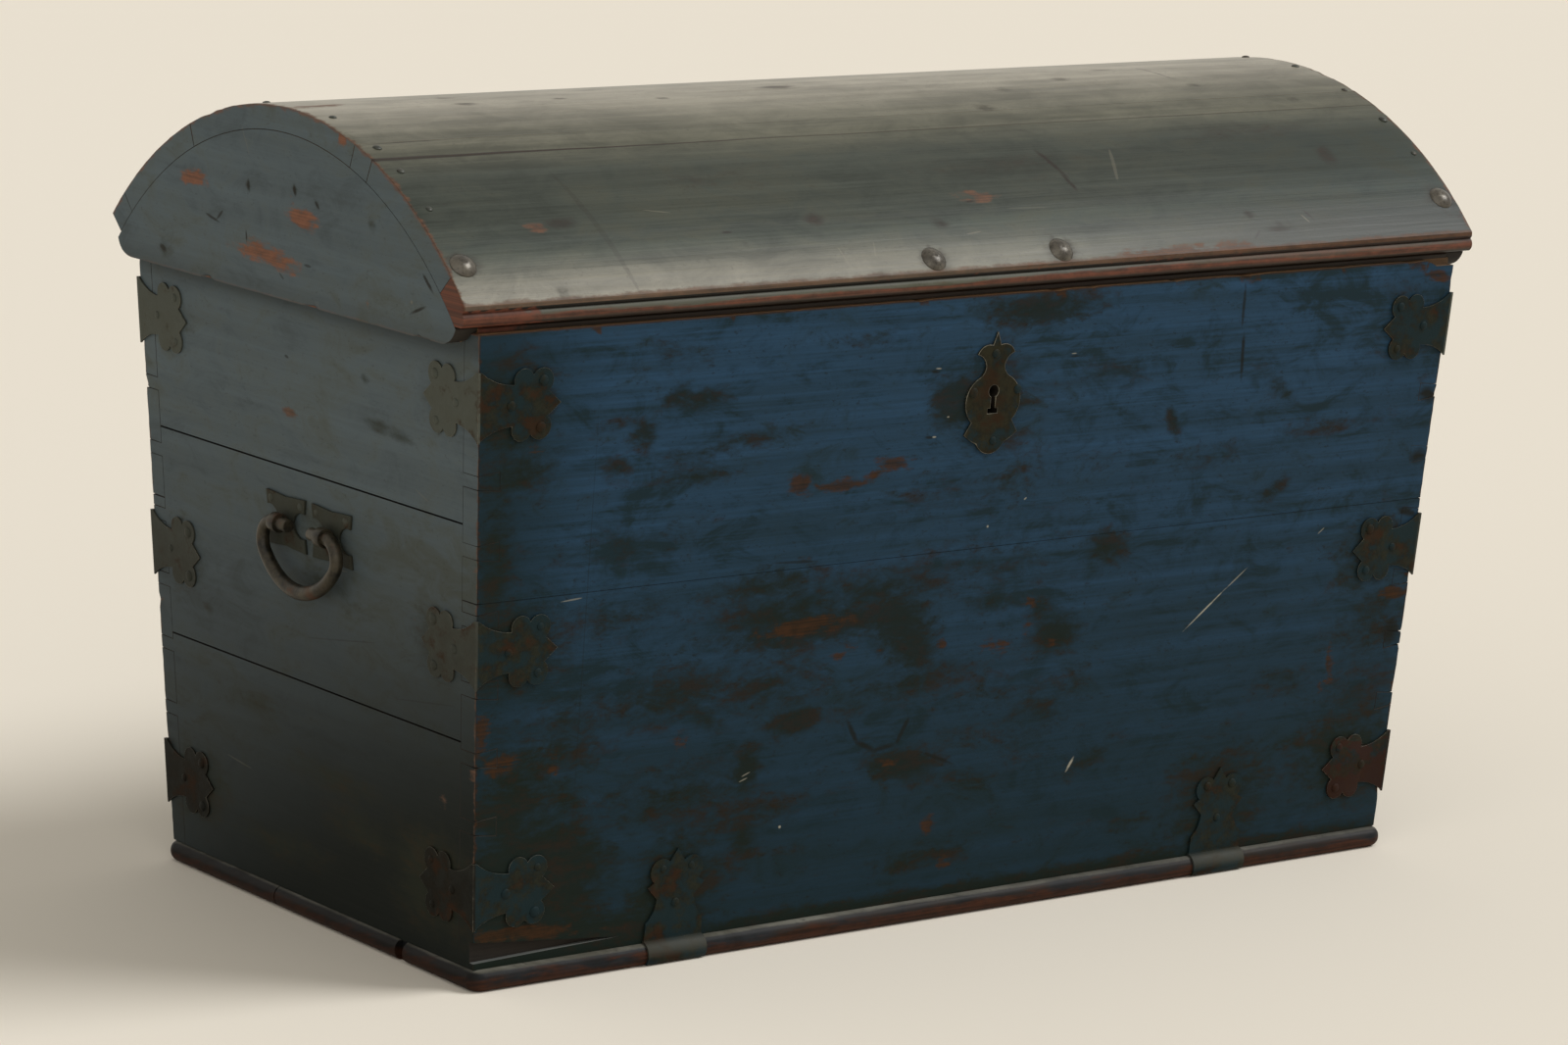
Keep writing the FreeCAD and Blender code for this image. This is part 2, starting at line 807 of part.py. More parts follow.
def hinge_pin(x_side):
    low, high = hinge_zone(x_side)
    pin = rod(hinge_pin_radius, low - hinge_pin_head, high + hinge_pin_head, hinge_y(), rim)
    heads = [rod(knuckle_radius, low - hinge_pin_head, low, hinge_y(), rim),
             rod(knuckle_radius, high, high + hinge_pin_head, hinge_y(), rim)]
    return fused([pin] + heads)


def hinge_nodes():
    nodes = {}
    for x_side in (-1, 1):
        name = "hinge_" + x_side_name(x_side)
        nodes[name + "_body_leaf"] = hinge_body_leaf(x_side)
        nodes[name + "_lid_leaf"] = hinge_lid_leaf(x_side)
        nodes[name + "_pin"] = hinge_pin(x_side)
    return nodes


# Handles


def bail_corner_offset():
    rise = bail_bow_radius - bail_drop + bail_corner_radius
    return math.sqrt((bail_bow_radius - bail_corner_radius) ** 2 - rise ** 2)


def eye_offset():
    return bail_corner_offset() - eye_thickness / 2 - eye_play


def handle_x(x_side):
    return x_side * (half_width(handle_height) + eye_standoff)


def eye_shank(x_side, y, clearance):
    ring = bail_bar_radius + bail_clearance
    start = handle_x(x_side) - x_side * (ring + eye_wall / 2)
    length = eye_standoff - ring - eye_wall / 2 + board
    return Part.makeCylinder(eye_shank_radius + clearance, length, Vector(start, y, handle_height),
                             Vector(-x_side, 0, 0))


def handle_eye(x_side, y):
    radius = bail_bar_radius + bail_clearance
    ring_start = Vector(handle_x(x_side), y - eye_thickness / 2, handle_height)
    ring = Part.makeCylinder(radius + eye_wall, eye_thickness, ring_start, Vector(0, 1, 0))
    bore = Part.makeCylinder(radius, eye_thickness, ring_start, Vector(0, 1, 0))
    return fused([ring, eye_shank(x_side, y, 0)]).cut(bore)


def handle_plate(x_side, y):
    def on_end(u, v):
        return Vector(x_side * body_top_width, y + v * handle_plate_half_width,
                      handle_height + u * handle_plate_half_height)

    quarter = [[(v, u) for u, v in points] for points in handle_plate_outline_shares]
    lower = [[(-u, v) for u, v in reversed(points)] for points in reversed(quarter)]
    outline = mirrored_outline(quarter + lower, on_end)
    plate = prism(outline, Vector(-x_side * body_top_width, 0, 0))
    plate = plate.common(side_layer(x_side_name(x_side), 0, handle_plate_thickness))
    return plate.cut(eye_shank(x_side, y, eye_shank_clearance))


def bail(x_side):
    # Pins through the eyes, round corners and a bow that swells to the middle
    x = handle_x(x_side)

    def at(y, z):
        return Vector(x, handle_y + y, handle_height + z)

    corner = bail_corner_offset()
    bow_centre = bail_bow_radius - bail_drop
    turn = math.atan2(corner, bow_centre + bail_corner_radius)
    join_y = bail_bow_radius * math.sin(turn)
    join_z = bow_centre - bail_bow_radius * math.cos(turn)
    half_turn = turn + (math.pi - turn) / 2
    bend_y = corner + bail_corner_radius * math.sin(half_turn)
    bend_z = -bail_corner_radius - bail_corner_radius * math.cos(half_turn)
    tip = eye_offset() - eye_thickness / 2 - bail_tip_length
    solids = []
    for y_side in (-1, 1):
        path = Part.Wire([
            edge([at(y_side * tip, 0), at(y_side * corner, 0)]),
            edge([at(y_side * corner, 0), at(y_side * bend_y, bend_z), at(y_side * join_y, join_z)]),
        ])
        section = Part.makeCircle(bail_bar_radius, at(y_side * tip, 0), Vector(0, 1, 0))
        solids.append(path.makePipeShell([Part.Wire(section)], True, True))
        quarter_y = bail_bow_radius * math.sin(turn / 2)
        quarter_z = bow_centre - bail_bow_radius * math.cos(turn / 2)
        bow = Part.Wire(edge([at(y_side * join_y, join_z), at(y_side * quarter_y, quarter_z),
                              at(0, -bail_drop)]))
        tangent = Vector(0, -y_side * math.cos(turn), -math.sin(turn))
        thin = Part.Wire(Part.makeCircle(bail_bar_radius, at(y_side * join_y, join_z), tangent))
        thick = Part.Wire(Part.makeCircle(bail_middle_radius, at(0, -bail_drop), Vector(0, -y_side, 0)))
        solids.append(bow.makePipeShell([thin, thick], True, True))
    return fused(solids)


def handle_nodes():
    nodes = {}
    for x_side, y_side, y in eye_places():
        name = "_".join((x_side_name(x_side), "handle", "{}", y_side_name(y_side)))
        nodes[name.format("plate")] = handle_plate(x_side, y)
        nodes[name.format("eye")] = handle_eye(x_side, y)
    for x_side in (-1, 1):
        nodes[x_side_name(x_side) + "_handle_bail"] = bail(x_side)
    return nodes


def all_nodes():
    nodes = {}
    nodes.update(floor_nodes())
    nodes.update(carcass_nodes())
    nodes.update(corner_strap_nodes())
    for x_side in (-1, 1):
        nodes["foot_strap_" + x_side_name(x_side)] = foot_strap(x_side)
    nodes["escutcheon"] = escutcheon()
    nodes["lock_case"] = lock_case()
    nodes["lock_bolt"] = lock_bolt()
    nodes.update(lid_nodes())
    nodes.update(hinge_nodes())
    nodes.update(handle_nodes())
    return nodes


os.makedirs("parts", exist_ok=True)
for node, shape in all_nodes().items():
    shape.exportStep("parts/" + node + ".step")
    print(node, len(shape.Solids), shape.isValid(), round(shape.Volume))
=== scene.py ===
import json
import math

import bmesh
import bpy
from mathutils import Matrix, Vector, noise
from mathutils.kdtree import KDTree


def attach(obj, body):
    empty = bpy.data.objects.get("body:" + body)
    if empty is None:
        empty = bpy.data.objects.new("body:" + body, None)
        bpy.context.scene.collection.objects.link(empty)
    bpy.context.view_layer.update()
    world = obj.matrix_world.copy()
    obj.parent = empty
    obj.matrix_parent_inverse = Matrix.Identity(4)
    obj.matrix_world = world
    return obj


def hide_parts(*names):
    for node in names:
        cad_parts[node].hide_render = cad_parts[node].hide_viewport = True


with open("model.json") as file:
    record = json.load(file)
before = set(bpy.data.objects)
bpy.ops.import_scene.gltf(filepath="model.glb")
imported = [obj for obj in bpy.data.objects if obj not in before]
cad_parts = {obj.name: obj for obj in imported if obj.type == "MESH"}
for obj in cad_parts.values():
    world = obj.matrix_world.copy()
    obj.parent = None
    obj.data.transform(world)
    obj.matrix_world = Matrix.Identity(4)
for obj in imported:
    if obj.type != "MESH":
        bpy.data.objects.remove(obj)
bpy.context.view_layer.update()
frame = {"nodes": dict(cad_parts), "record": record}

nodes = frame["nodes"]
bodyOf = {n: body for body, names in frame["record"]["behaviour"]["bodies"].items() for n in names}
print("frame loaded:", len(nodes), "nodes")

# sizes of the trunk in metres, as the frame has them
trunk = {
    "rim": 0.571, "height": 0.552, "halfWidth": 0.55, "sideTaper": 0.0315,
    "halfDepth": 0.277, "frontTaper": 0.0285, "forward": 0.006, "lidFoot": 0.560,
    "domeRadius": 0.379, "domeCentre": 0.347, "lidHalfWidth": 0.568,
}
mm = 0.001


def newObject(name, data):
    made = bpy.data.objects.new(name, data)
    bpy.context.scene.collection.objects.link(made)
    return made


def srgb(red, green, blue):  # a colour as it is seen, 0 to 255, made linear
    def linear(part):
        share = part / 255
        return share / 12.92 if share <= 0.04045 else ((share + 0.055) / 1.055) ** 2.4
    return linear(red), linear(green), linear(blue), 1


class Sock:  # an output socket that adds Math nodes when it is used in a sum
    def __init__(self, tree, socket=None):
        self.tree = tree
        self.socket = socket

    def node(self, kind, settings, inputs, output=0):
        made = self.tree.nodes.new(kind)
        for key, value in settings.items():
            setattr(made, key, value)
        for key, value in inputs.items():
            if isinstance(value, Sock):
                self.tree.links.new(value.socket, made.inputs[key])
            else:
                made.inputs[key].default_value = value
        return Sock(self.tree, made.outputs[output])

    def other(self, output):  # another output of the same node
        return Sock(self.tree, self.socket.node.outputs[output])

    def maths(self, operation, *values, clamp=False):
        return self.node("ShaderNodeMath", {"operation": operation, "use_clamp": clamp}, dict(enumerate(values)))

    def __add__(self, value):
        return self.maths("ADD", self, value)

    def __sub__(self, value):
        return self.maths("SUBTRACT", self, value)

    def __rsub__(self, value):
        return self.maths("SUBTRACT", value, self)

    def __mul__(self, value):
        return self.maths("MULTIPLY", self, value)

    def __abs__(self):
        return self.maths("ABSOLUTE", self)

    __radd__ = __add__
    __rmul__ = __mul__

    def clamp(self):
        return self.maths("ADD", self, 0.0, clamp=True)

    def least(self, value):
        return self.maths("MINIMUM", self, value)

    def most(self, value):
        return self.maths("MAXIMUM", self, value)

    def step(self, low, high):  # smooth step from 0 at low to 1 at high
        return self.node("ShaderNodeMapRange", {"interpolation_type": "SMOOTHSTEP"}, {0: self, 1: low, 2: high})

    def mix(self, *colours):  # two colours mixed by this value, sockets or as srgb takes them
        first, second = [each if isinstance(each, Sock) else srgb(*each) for each in colours]
        return self.node("ShaderNodeMix", {"data_type": "RGBA"}, {0: self, 6: first, 7: second}, 2)

    def vector(self, second, third=1.0):
        return self.node("ShaderNodeCombineXYZ", {}, {0: self, 1: second, 2: third})

    def dot(self, *parts):
        return self.node("ShaderNodeVectorMath", {"operation": "DOT_PRODUCT"}, {0: self, 1: parts}, 1)

    def field(self, name):  # a value kept on the mesh
        return self.node("ShaderNodeAttribute", {"attribute_name": name}, {}, "Fac")

    def noise(self, scale, place=(0, 0, 0), detail=4.0, rough=0.55, twist=0.0):
        spot = self.node("ShaderNodeMapping", {}, {"Vector": self, "Location": place, "Scale": scale})
        return self.node("ShaderNodeTexNoise", {}, {
            "Vector": spot, "Scale": 1.0, "Detail": detail, "Roughness": rough, "Distortion": twist})

    def chatter(self, seed):  # unevenness of worn edges, about zero
        return self.noise((45, 80, 1), (seed, 7, 0), 4, 0.7) - 0.5


def newFinish(name):  # a material's shader, and the place on the object with its x, y, z
    material = bpy.data.materials.new(name)
    material.use_nodes = True
    tree = material.node_tree
    shader = tree.nodes["Principled BSDF"]
    place = Sock(tree).node("ShaderNodeTexCoord", {}, {}, "Object")
    x = place.node("ShaderNodeSeparateXYZ", {}, {0: place})
    print("finish:", name)
    return material, shader, place, x, x.other(1), x.other(2)


def wireUp(shader, colour, roughness, gloss, height, depth, strength):
    tree = colour.tree
    tree.links.new(colour.socket, shader.inputs["Base Color"])
    tree.links.new(roughness.socket, shader.inputs["Roughness"])
    bump = colour.node("ShaderNodeBump", {}, {"Strength": strength, "Distance": depth, "Height": height})
    tree.links.new(bump.socket, shader.inputs["Normal"])
    shader.inputs["Specular IOR Level"].default_value = gloss


def turned(degrees):
    return math.cos(math.radians(degrees)), math.sin(math.radians(degrees))


def strokes(flat, marks, ragged):  # one mask from thin marks: place, half length, half width, turn, strength
    total = None
    for across, up, halfLong, halfWide, turn, strength in marks:
        cosine, sine = turned(turn)
        along = flat.dot(cosine / (halfLong * mm), sine / (halfLong * mm), -(across * cosine + up * sine) / halfLong)
        aside = flat.dot(-sine / (halfWide * mm), cosine / (halfWide * mm), (across * sine - up * cosine) / halfWide)
        far = aside.maths("MULTIPLY_ADD", aside, aside, along * along)
        mask = (ragged - far).least(strength)
        total = mask.most(0.0 if total is None else total)
    return total


def agedPaint(shader, spec, flat, rub, paintedShade, dust=None, seam=None):
    # flat runs along and across the boards, rub is 1 where edges are worn through, paintedShade is 1 where painted
    # shade is darkest, dust has two masks for paler paint, from fading and dust and in places a painted highlight;
    # grime, worn patches and painted shadows are kept on the mesh
    seed = spec["seed"]
    grain = flat.noise((6, 380, 1), (seed, 0, 0), 3, 0.65)
    brush = flat.noise((2.2, 60, 1), (0, seed, 0), 4, 0.62, 0.3)
    cloud = flat.noise((3.4, 7, 1), (seed, seed, 0), 3, 0.55, 0.4)
    mottle = flat.noise((17, 32, 1), (seed, 4, seed), 6, 0.7, 0.8)
    smudge = flat.noise((13, 34, 1), (seed, 2, seed), 5, 0.68, 0.5)
    spots = flat.noise((60, 110, 1), (seed, 1, seed), 4, 0.7, 0.3)
    flecks = flat.noise((190, 330, 1), (1, seed, seed), 3, 0.65)
    streak = (brush - 0.5) * 1.1 + (grain - 0.5) * 0.6

    tone = (0.5 + streak * spec["streaks"] + (cloud - 0.5) * 1.5 + (mottle - 0.5) * spec["mottle"]).clamp()
    paint = tone.mix(*spec["paint"])
    paint = ((cloud * 0.5 + mottle * 0.7).step(0.52, 0.8) * spec["greening"]).mix(paint, spec["paintGreen"])
    # painted shade: the paint is darkened towards its shade tone where less light falls
    paint = paintedShade.mix(paint, spec["paintedShadeTone"])
    # paler paint from fading and dust, which on the lid and the nose is also a painted highlight and sheen
    if dust:
        paint = dust[0].mix(paint, tone.mix(*spec["fadedAndHighlight"]))
        paint = dust[1].mix(paint, tone.mix(*spec["dust"]))

    ragged = ((smudge - 0.5) * 1.0 + (mottle - 0.5) * 0.7 + (spots - 0.5) * 0.9 + streak * 0.4) * spec["ragged"]
    # grime, painted shadows from the marks on the mesh, and more of both where shade is painted
    grimeAndShadow = (flat.field("grimeAndShadow") + paintedShade * 0.16 + ragged).step(spec["grimeAndShadowFrom"] - 0.06, spec["grimeAndShadowFrom"] + 0.5)
    grimeAndShadowTone = (smudge * 0.6 + spots * 0.4).step(0.48, 0.62).mix(*spec["grimeAndShadow"])
    paint = (grimeAndShadow * spec["grimeAndShadowAmount"]).mix(paint, grimeAndShadowTone)
    speck = (flecks * 0.7 + spots * 0.4 + mottle * 0.2).step(0.72, 0.82) * spec["flecks"]
    paint = speck.mix(paint, spec["cut"])
    rubbed = (smudge - 0.5) * 0.9 + (spots - 0.5) * 0.8 + streak * 0.35
    worn = (flat.field("worn") + rubbed).step(spec["wornFrom"], spec["wornFrom"] + 0.28)
    worn = worn.most(rub) * spec["wornAmount"]
    wornTone = (grain * 0.7 + spots * 0.5).step(0.4, 0.8)
    paint = worn.mix(paint, wornTone.mix(*spec["worn"]))
    thin = 1 + (spots - 0.5) * 1.6 + (grain - 0.5) * 0.8
    if spec["cuts"]:
        paint = strokes(flat, spec["cuts"], thin).mix(paint, spec["cut"])
    if seam:
        paint = seam.mix(paint, spec["cut"])
    if spec["scratches"]:
        paint = strokes(flat, spec["scratches"], thin).mix(paint, spec["scratch"])

    roughness = (spec["rough"] + (grain - 0.5) * spec["roughRange"] + grimeAndShadow * 0.08 + worn * 0.14).clamp()
    height = grain * 0.45 + brush * 0.55
    wireUp(shader, paint, roughness, spec["gloss"], height, *spec["bump"])


# blue front, worn and grimy, with painted shade towards the foot and both ends, most at the left: marks are x, height,
# half length, half height, turn and strength in mm
frontPaint = {
    "seed": 3.0, "paint": ((20, 39, 47), (46, 79, 111)), "paintGreen": (22, 36, 34),
    "paintedShadeTone": (14, 32, 36), "greening": 0.9, "streaks": 1.2, "mottle": 2.6, "flecks": 0.5,
    "grimeAndShadow": ((18, 25, 14), (33, 24, 8)), "ragged": 1.0, "grimeAndShadowFrom": 0.24, "grimeAndShadowAmount": 0.85,
    "worn": ((30, 23, 13), (64, 40, 21)), "wornFrom": 0.36, "wornAmount": 0.85,
    "cut": (18, 21, 17), "scratch": (150, 146, 132),
    "rough": 0.58, "roughRange": 0.2, "bump": (0.0007, 0.4), "gloss": 0.1,
    "grimeAndShadowMarks": [
        (48, 555, 66, 13, 0, 0.95), (-41, 477, 22, 24, 0, 1.1), (-345, 505, 16, 7, 25, 0.95),
        (-318, 500, 26, 8, 4, 0.95), (-376, 475, 14, 12, 0, 0.85), (-408, 484, 24, 7, 8, 0.6),
        (-402, 448, 15, 8, 0, 0.75), (-322, 453, 40, 8, 4, 0.65), (-320, 432, 44, 7, 4, 0.8),
        (-262, 462, 58, 7, 3, 0.65), (216, 440, 6, 14, 20, 0.9), (345, 460, 46, 9, -36, 0.6), (98, 254, 23, 15, 4, 1),
        (150, 327, 24, 15, 0, 0.85), (75, 279, 12, 11, 0, 0.7), (-180, 287, 100, 15, 2, 0.85),
        (-86, 281, 36, 25, -20, 0.9), (-66, 254, 22, 18, 0, 0.85), (-194, 202, 24, 10, 8, 0.9),
        (-69, 148, 34, 13, -8, 0.85), (10, 128, 46, 10, -16, 0.5), (-241, 101, 14, 13, 0, 0.85),
        (-244, 165, 13, 20, -15, 0.9), (82, 176, 42, 26, 20, 0.5), (-512, 505, 36, 34, 0, 0.75),
        (-500, 450, 34, 14, 12, 0.75), (-500, 296, 48, 36, 0, 0.75), (-470, 90, 64, 38, 0, 1.3),
        (500, 510, 42, 34, 0, 0.4), (478, 296, 42, 36, 0, 0.65), (470, 96, 56, 36, 0, 0.85),
        (312, 66, 44, 48, 0, 0.75), (-312, 66, 44, 48, 0, 0.75), (0, 470, 38, 48, 0, 0.75),
        (345, 364, 20, 7, 24, 0.8), (-70, 225, 60, 14, 10, 0.65), (20, 290, 26, 9, 0, 0.6),
        (-290, 215, 20, 10, -30, 0.6), (150, 130, 30, 8, 20, 0.6), (200, 60, 40, 9, 0, 0.55),
        (-215, 302, 70, 22, 4, 0.8), (-120, 312, 80, 16, 3, 0.7), (-330, 150, 90, 26, 5, 0.5),
        (-250, 118, 80, 24, 0, 0.4), (-440, 210, 40, 60, 0, 0.5), (20, 200, 90, 20, 8, 0.3),
        (-330, 240, 70, 22, 3, 0.6), (-380, 380, 60, 14, 4, 0.5), (260, 400, 90, 12, 4, 0.45),
        (130, 490, 60, 14, 6, 0.5), (-130, 540, 70, 9, 3, 0.45), (-520, 380, 16, 80, 0, 0.6),
        (-40, 60, 50, 10, 3, 0.6), (400, 420, 60, 8, 3, 0.5), (380, 180, 40, 10, -6, 0.55),
        (-420, 250, 50, 9, 2, 0.55), (-230, 235, 60, 20, 0, 0.55), (-380, 320, 60, 20, 4, 0.5),
        (-240, 330, 60, 16, 0, 0.7), (0, 400, 120, 24, 0, 0.4), (-490, 150, 44, 60, 0, 0.75),
        # (-455, 32) is painted shadow on the lower piece under the split, and (0, 20) a line of dirt and painted shade
        # in the crease above the nose
        (-360, 540, 60, 16, 0, 0.45), (-455, 32, 110, 17, 1, 1.3), (0, 20, 560, 7, 0, 1), (490, 235, 50, 50, 0, 0.5),
        (480, 120, 60, 50, 0, 0.5), (20, 325, 110, 22, 0, 0.4),
    ],
    "wornMarks": [
        (-206, 417, 14, 12, 0, 0.85), (-160, 412, 46, 6, 6, 0.8), (-106, 425, 22, 7, 0, 0.9),
        (-190, 288, 44, 7, 3, 0.95), (-505, 197, 20, 9, 8, 1), (-447, 188, 7, 15, 0, 0.65),
        (-318, 197, 9, 18, 25, 0.55), (-35, 257, 6, 6, 0, 0.9), (-150, 255, 9, 5, 0, 0.8), (22, 247, 25, 6, -8, 0.65),
        (-34, 88, 10, 11, 0, 0.9), (438, 192, 6, 18, 4, 0.85), (515, 250, 18, 6, -5, 1), (62, 262, 8, 7, 0, 0.75),
        (330, 470, 20, 5, -30, 0.5), (430, 166, 6, 6, 0, 0.7), (-470, 45, 80, 6, -3, 0.9),
        (-524, 225, 8, 24, 0, 0.85), (-216, 352, 32, 5, -3, 0.6), (-120, 262, 30, 5, -5, 0.5),
        (-490, 470, 14, 6, 0, 0.7), (-505, 300, 10, 14, 0, 0.6), (-512, 95, 20, 10, 0, 0.7),
        (505, 520, 14, 6, 0, 0.7), (490, 90, 20, 14, 0, 0.7), (530, 556, 22, 5, -14, 0.9), (-14, 49, 10, 5, 0, 0.8),
        (-96, 214, 8, 7, 0, 0.6), (-84, 150, 12, 6, 0, 0.6), (66, 285, 9, 8, 0, 0.65), (94, 242, 9, 7, 0, 0.6),
    ],
    "cuts": [
        (-425, 300, 200, 0.7, 90, 0.3), (289, 543, 22, 2.2, 90, 0.75), (293, 494, 27, 2.6, 92, 0.85),
        (-128, 184, 18, 3.2, -60, 0.85), (-112, 170, 16, 3.2, -26, 0.85), (-92, 167, 18, 3.2, 6, 0.8),
        (-72, 180, 18, 3, 62, 0.75), (-206, 347, 26, 1.6, -3, 0.6), (-66, 506, 7, 1.8, -8, 0.85),
        (92, 509, 6, 1.4, 0, 0.7), (-68, 447, 5, 1.6, -6, 0.8), (-30, 150, 24, 1.8, -22, 0.7),
        (532, 442, 13, 9, -10, 0.95), (527, 383, 13, 9, 0, 0.95), (520, 329, 14, 5, -20, 0.9),
        (514, 213, 13, 14, 0, 0.95),
    ],
    "scratches": [
        (276, 258, 33, 1.0, 37, 0.95), (310, 283, 16, 0.9, 36, 0.5), (127, 126, 9, 1.8, 58, 0.9),
        (-243, 160, 5, 0.7, 20, 0.5), (-246, 155, 5, 0.7, 18, 0.5), (-202, 107, 1.8, 1.8, 0, 0.9),
        (7, 360, 1.5, 1.5, 0, 0.8), (48, 382, 2.0, 1.0, 30, 0.6), (-440, 336, 12, 0.8, 4, 0.4),
        (412, 320, 5, 0.8, 35, 0.4), (91, 511.5, 4, 0.8, 0, 0.7), (-62, 447, 2.4, 0.9, 0, 0.7),
        (-63, 508.5, 4, 0.8, -4, 0.7), (-48, 464, 1.5, 0.8, 0, 0.6),
    ],
}

# slate ends, paler above and painted darker towards the foot as shade: marks are y, height and so on
endPaint = {
    "seed": 11.0, "paint": ((68, 77, 80), (94, 108, 116)), "paintGreen": (68, 70, 58),
    "paintedShadeTone": (18, 23, 20), "greening": 0.75, "streaks": 0.7, "mottle": 1.8, "flecks": 0.22,
    "grimeAndShadow": ((39, 42, 31), (46, 40, 27)), "ragged": 0.6, "grimeAndShadowFrom": 0.34, "grimeAndShadowAmount": 0.75,
    "worn": ((74, 58, 47), (104, 78, 64)), "wornFrom": 0.42, "wornAmount": 0.9,
    "cut": (30, 28, 22), "scratch": (112, 106, 94),
    "rough": 0.56, "roughRange": 0.16, "bump": (0.0006, 0.35), "gloss": 0.1,
    "grimeAndShadowMarks": [
        (-125, 468, 24, 6, 2, 1), (-158, 465, 24, 6, 4, 0.9), (-105, 505, 8, 5, 0, 0.9), (-12, 350, 80, 36, 0, 0.45),
        # the marks at ±192 to ±215 are halos of dirt and painted shadow round the straps
        (165, 252, 10, 5, 0, 0.7), (-215, 503, 44, 36, 0, 0.55), (215, 503, 44, 36, 0, 0.6),
        (-205, 296, 46, 36, 0, 0.6), (205, 296, 46, 36, 0, 0.6), (-192, 84, 52, 38, 0, 0.8),
        (192, 84, 50, 36, 0, 0.75), (-30, 140, 70, 14, 3, 0.55), (90, 180, 60, 12, -2, 0.5),
        (-90, 100, 60, 16, 4, 0.55), (60, 60, 80, 14, -2, 0.55), (-80, 300, 40, 9, 2, 0.4), (110, 420, 12, 5, 0, 0.5),
        # (-64, 308) and (-22, 316) are the painted shadow of the handle's bail
        (60, 480, 10, 4, 0, 0.5), (-150, 320, 50, 10, 3, 0.4), (-64, 308, 24, 12, 20, 0.6),
        (-22, 316, 28, 16, 0, 0.7),
    ],
    "wornMarks": [
        (17, 456, 14, 6, 0, 0.95), (-215, 160, 8, 7, 0, 0.6), (140, 300, 6, 5, 0, 0.6), (-175, 310, 6, 5, 0, 0.6),
    ],
    "cuts": [(20, 505, 4, 1.6, 10, 0.7), (-60, 268, 60, 0.8, -9, 0.3), (-190, 240, 50, 0.8, -8, 0.3)],
    "scratches": [(-60, 330, 14, 0.8, -3, 0.3), (-190, 420, 12, 0.7, 20, 0.25), (120, 120, 22, 0.8, 6, 0.2)],
}
backPaint = dict(endPaint, **{
    "seed": 61.0, "cuts": [], "scratches": [],
    "grimeAndShadowMarks": [
        (-120, 420, 110, 16, 2, 0.7), (250, 330, 90, 14, -3, 0.7), (-360, 170, 80, 18, 4, 0.7),
        (60, 110, 140, 20, 0, 0.7), (420, 480, 50, 12, 0, 0.6), (-380, 480, 60, 10, 6, 0.6),
    ],
    "wornMarks": [(-200, 300, 40, 8, 3, 0.7), (310, 150, 26, 7, -4, 0.8)],
})


def leanAt(z):  # 0 at the rim and 1 at the foot, for numbers and for sockets
    return (trunk["rim"] - z) * (1 / trunk["height"])


def carcassDepths(x, y, z):  # depth below the front or back face and the end face, and the lean
    lean = leanAt(z)
    fromFace = trunk["halfDepth"] - lean * trunk["frontTaper"] - abs(y + trunk["forward"])
    fromEnd = trunk["halfWidth"] - lean * trunk["sideTaper"] - abs(x)
    return fromFace, fromEnd, lean


def endsFlat(x, y, z):  # both ends laid flat, with other noise on the right one
    return (y + x.step(-0.01, 0.01) * 5).vector(z)


def carcassFinish(name, spec, onEnds):
    material, shader, place, x, y, z = newFinish(name)
    fromFace, fromEnd, lean = carcassDepths(x, y, z)
    if onEnds:
        flat = endsFlat(x, y, z)
        fromArris = fromFace
        # painted shadow and dirt just under the lid's edge; painted shade darker towards the foot and, low down,
        # towards the front
        shadowUnderLid = z.step(0.538, 0.558) * 0.45
        paintedShade = (lean - lean * lean * y * 1.1).step(0.12, 1.0).most(shadowUnderLid)
    else:
        flat = x.vector(z)
        fromArris = fromEnd
        # painted shade near both ends of the front, strongest at the left, and darker towards the foot
        shadeAtCorners = fromEnd.step(0.15, 0.01) * (0.3 + x.step(0.1, -0.1) * 0.45)
        paintedShade = (lean.step(0.0, 1.05) * 0.77).most(shadeAtCorners)
    chatter = flat.chatter(spec["seed"])
    arris = fromArris + chatter * 0.012
    rim = trunk["rim"] - z + chatter * 0.0016
    rub = (arris.step(0.0024, 0.0004) * z.step(0.05, 0.075) * 0.8).most(rim.step(0.0022, 0.0006))
    agedPaint(shader, spec, flat, rub, paintedShade)
    return material


